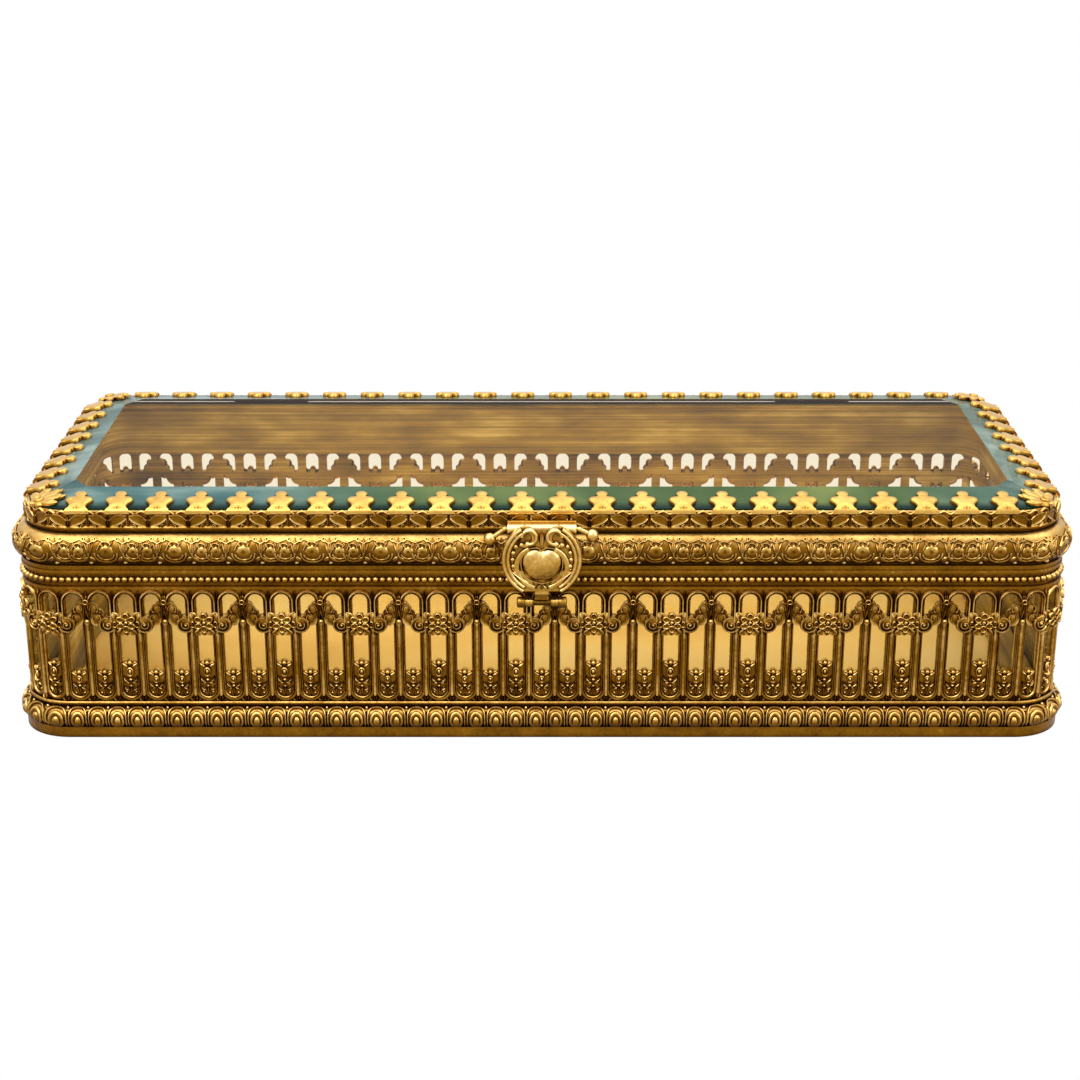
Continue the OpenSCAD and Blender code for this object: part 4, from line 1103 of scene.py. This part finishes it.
def shield_ornament():
    """Relief on the face of the shield, with the pin at the origin."""
    m = Motif()
    scroll = arc(-3.8, -1.2, 2.15, 175, -112, 20)
    band = curve((-3.7, -5.0), (-6.1, -6.8), (-7.5, -9.8), (-7.0, -13.0), (-5.0, -15.8),
                 (-2.3, -17.2), steps=4)
    outline = curve((0, -5.3), (-1.6, -4.4), (-4.3, -5.0), (-6.0, -7.6), (-6.0, -11.2), (-4.0, -14.4),
                    (0, -15.8), steps=4)
    rims = [arc(0, -8.3, 11.3, 122, 240, 24), arc(0, -8.3, 10.1, 124, 238, 24)]

    def side(s):
        m.rib(scroll * (-s, 1), 1.4, 1.2, across=6)
        m.dome(s * 4.3, -3.2, 1.9, 1.9, 1.35, around=12)
        m.rib(band * (-s, 1), 2.0, 0.85, taper=0.25, across=7, flat=0.7)
        m.rib(outline * (-s, 1), 0.55, 0.7)
        for rim in rims:
            m.rib(rim * (-s, 1), 1.4, 1.15, across=6)
        m.dome(s * 2.3, -8.8, 7.3, 7.8, 1.75, around=24, rings=6)

    m.both(side)
    m.leaves((9.5, -11.0), (2.4, -17.0), 2.6, 0.85, 0.9, section=(1.0, 0.4, 0.7), steps=10)
    m.leaves((6.3, -1.6), (9.0, -6.6), 1.3, 0.7, -0.5, section=(1.0, 0.4, 0.7))
    m.leaves((0.3, -15.8), (1.8, -17.6), 1.1, 0.7, steps=5)
    m.leaf((0, 0.6), (0, -4.2), 1.6, 0.7)
    m.leaf((0, -15.6), (0, -17.8), 1.2, 0.8, steps=5)
    return m.shift(z=CLASP_Z)


def keeper_collars():
    """A sleeve and a collar (place, radius) round each end of the keeper bar."""
    m = Motif()
    turns = np.linspace(0, 2 * math.pi, 24, endpoint=False)
    return m.both(lambda s: m.loft([np.column_stack([np.full(24, s * x), KEEPER_Z + r * np.sin(turns),
                                                     r * np.cos(turns)]) for x, r in COLLAR]))


relief = shield_ornament().mesh("shield", on_wall(SHIELD_FACE))
finish_piece("clasp_ornament", [relief], "clasp", "clasp_gilt")
finish_piece("keeper_collars", [keeper_collars().mesh("collars", on_wall(-KEEPER_Y))], slot="clasp_gilt")

# %% [markdown]
# ### Silk pad
# A thin pad covered in silk lies on the floor of the case. It could be modelled as a slab,
# but cloth shows its filling in soft swells. So it starts as a flat form with a pinched
# seam, and a short cloth run under light pressure swells it, with each point held near its
# start so that the pad can't leave the floor or touch the panes.

# %% Pad
PAD_CELL = 4.0
PAD_SHRINK = 1.2
PAD_REACH = 1.6
SEAM_RISE = 1.0
TOP_SWELL = PAD_T - 1.1
HELD_UNDER = 0.9


def pad_mesh(name):
    """A closed pad with a pinched seam round it, in a grid of cells."""
    half = np.array([PAD_W / 2 - PAD_SHRINK, PAD_D / 2 - PAD_SHRINK])
    count = [round(2 * h / PAD_CELL) for h in half]
    u, v = [np.linspace(-1, 1, n + 1) for n in count]
    points, faces = [], []
    index = {}
    for side in (1, -1):
        for j, b in enumerate(v):
            for i, a in enumerate(u):
                rim = abs(a) == 1 or abs(b) == 1
                if rim and side < 0:
                    index[side, i, j] = index[1, i, j]
                    continue
                spot = np.array([a, b]) * half
                past = np.maximum(abs(spot) - (half - PAD_R), 0)
                if past.min() > 0:
                    spot = np.sign(spot) * (half - PAD_R + past * past.max() / np.linalg.norm(past))
                swell = 0.0 if rim else (1 - a ** 12) * (1 - b ** 6)
                lift = swell * (TOP_SWELL if side > 0 else SEAM_RISE)
                index[side, i, j] = len(points)
                points.append((spot[0], spot[1], PAD_Z + SEAM_RISE + side * lift))
        for j in range(count[1]):
            for i in range(count[0]):
                quad = [index[side, i + di, j + dj] for di, dj in ((0, 0), (1, 0), (1, 1), (0, 1))]
                faces.append(quad[::side])
    mesh = bpy.data.meshes.new(name)
    mesh.from_pydata((np.array(points) * MM).tolist(), [], faces)
    return mesh


def swell(piece):
    """Runs the cloth, and keeps each point near its start and above the floor."""
    start = np.array([v.co for v in piece.data.vertices])
    below = [v.index for v in piece.data.vertices if v.co.z < (PAD_Z + HELD_UNDER) * MM]
    held = piece.vertex_groups.new(name="held")
    held.add(below, 1.0, "REPLACE")
    cloth = piece.modifiers.new("cloth", "CLOTH")
    cloth.settings.quality = 6
    cloth.settings.use_pressure = True
    cloth.settings.uniform_pressure_force = 4
    cloth.settings.effector_weights.gravity = 0
    cloth.settings.shrink_min = -0.035
    cloth.settings.vertex_group_mass = "held"
    cloth.collision_settings.use_collision = False
    for step in range(1, 21):
        bpy.context.scene.frame_set(step)
    done = piece.evaluated_get(bpy.context.evaluated_depsgraph_get()).data
    moved = np.array([v.co for v in done.vertices]) - start
    far = np.linalg.norm(moved, axis=1, keepdims=True)
    ends = start + moved * np.minimum(1, PAD_REACH * MM / np.maximum(far, 1e-9))
    ends[:, 2] = np.maximum(ends[:, 2], PAD_Z * MM)
    piece.modifiers.remove(cloth)
    bpy.context.scene.frame_set(1)
    piece.data.vertices.foreach_set("co", ends.ravel())
    piece.data.update()
    print("pad moved by up to", round(float(far.max()) / MM, 2), "mm")


pad = bpy.data.objects.new("silk_pad", pad_mesh("silk_pad"))
bpy.context.scene.collection.objects.link(pad)
swell(pad)
smoother = pad.modifiers.new("smoother", "SUBSURF")
smoother.levels = smoother.render_levels = 1
pad.data = bpy.data.meshes.new_from_object(pad.evaluated_get(bpy.context.evaluated_depsgraph_get()))
pad.modifiers.clear()
pad.data.shade_smooth()
pad.data.materials.clear()
pad.data.materials.append(silk)
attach(pad, "case")
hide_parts("lining_pad")
print("pad:", len(pad.data.polygons), "faces")

# %% [markdown]
# ## Studio
# The box stands on white under soft lamps. Bright lamps would bleach the gilding, so the
# floor and the sky look pure white to the camera, in a gloss and through glass, but light
# the box at a plain level. Three square lamps give broad soft highlights.

# %% Floor, world and lamps
WHITE = colour("FFFFFF")
TARGET = (0, 0, 0.03)
SKY_LIGHT = 0.62


def seen_rays(tree):
    """1 for rays from the camera, from a gloss or through glass."""
    path = add(tree, "ShaderNodeLightPath").outputs
    seen = add(tree, "ShaderNodeMath", [path["Is Camera Ray"], path["Is Glossy Ray"]], operation="MAXIMUM")
    return add(tree, "ShaderNodeMath", [seen, path["Is Transmission Ray"]], operation="MAXIMUM")


def white_floor(tree):
    """White board that looks evenly lit."""
    board = add(tree, "ShaderNodeBsdfPrincipled", {"Base Color": WHITE, "Roughness": 0.9})
    bright = add(tree, "ShaderNodeEmission", {"Color": WHITE, "Strength": 1.0})
    return add(tree, "ShaderNodeMixShader", [seen_rays(tree), board, bright])


bpy.ops.mesh.primitive_plane_add(size=8)
floor = bpy.context.object
floor.name = "floor"
floor.data.materials.append(finish("floor", white_floor))

world = bpy.data.worlds.new("studio")
bpy.context.scene.world = world
world.use_nodes = True
tree = world.node_tree
tree.nodes.clear()
level = add(tree, "ShaderNodeMapRange", [seen_rays(tree), 0.0, 1.0, SKY_LIGHT, 1.0])
sky = add(tree, "ShaderNodeBackground", {"Color": WHITE, "Strength": level})
add(tree, "ShaderNodeOutputWorld", [sky])


def softbox(name, place, size, watts):
    """A square area lamp that faces the box."""
    lamp = bpy.data.objects.new(name, bpy.data.lights.new(name, "AREA"))
    lamp.data.shape = "SQUARE"
    lamp.data.size = size
    lamp.data.energy = watts
    lamp.location = place
    lamp.rotation_euler = (Vector(TARGET) - Vector(place)).to_track_quat("-Z", "Y").to_euler()
    bpy.context.scene.collection.objects.link(lamp)


softbox("overhead", (0.1, 0.1, 1.2), 1.5, 9)
softbox("key", (-0.4, -0.6, 0.8), 0.7, 5)
softbox("fill", (0.8, -0.5, 0.5), 0.6, 2)
print("lamps:", len(bpy.data.lights))

# %% [markdown]
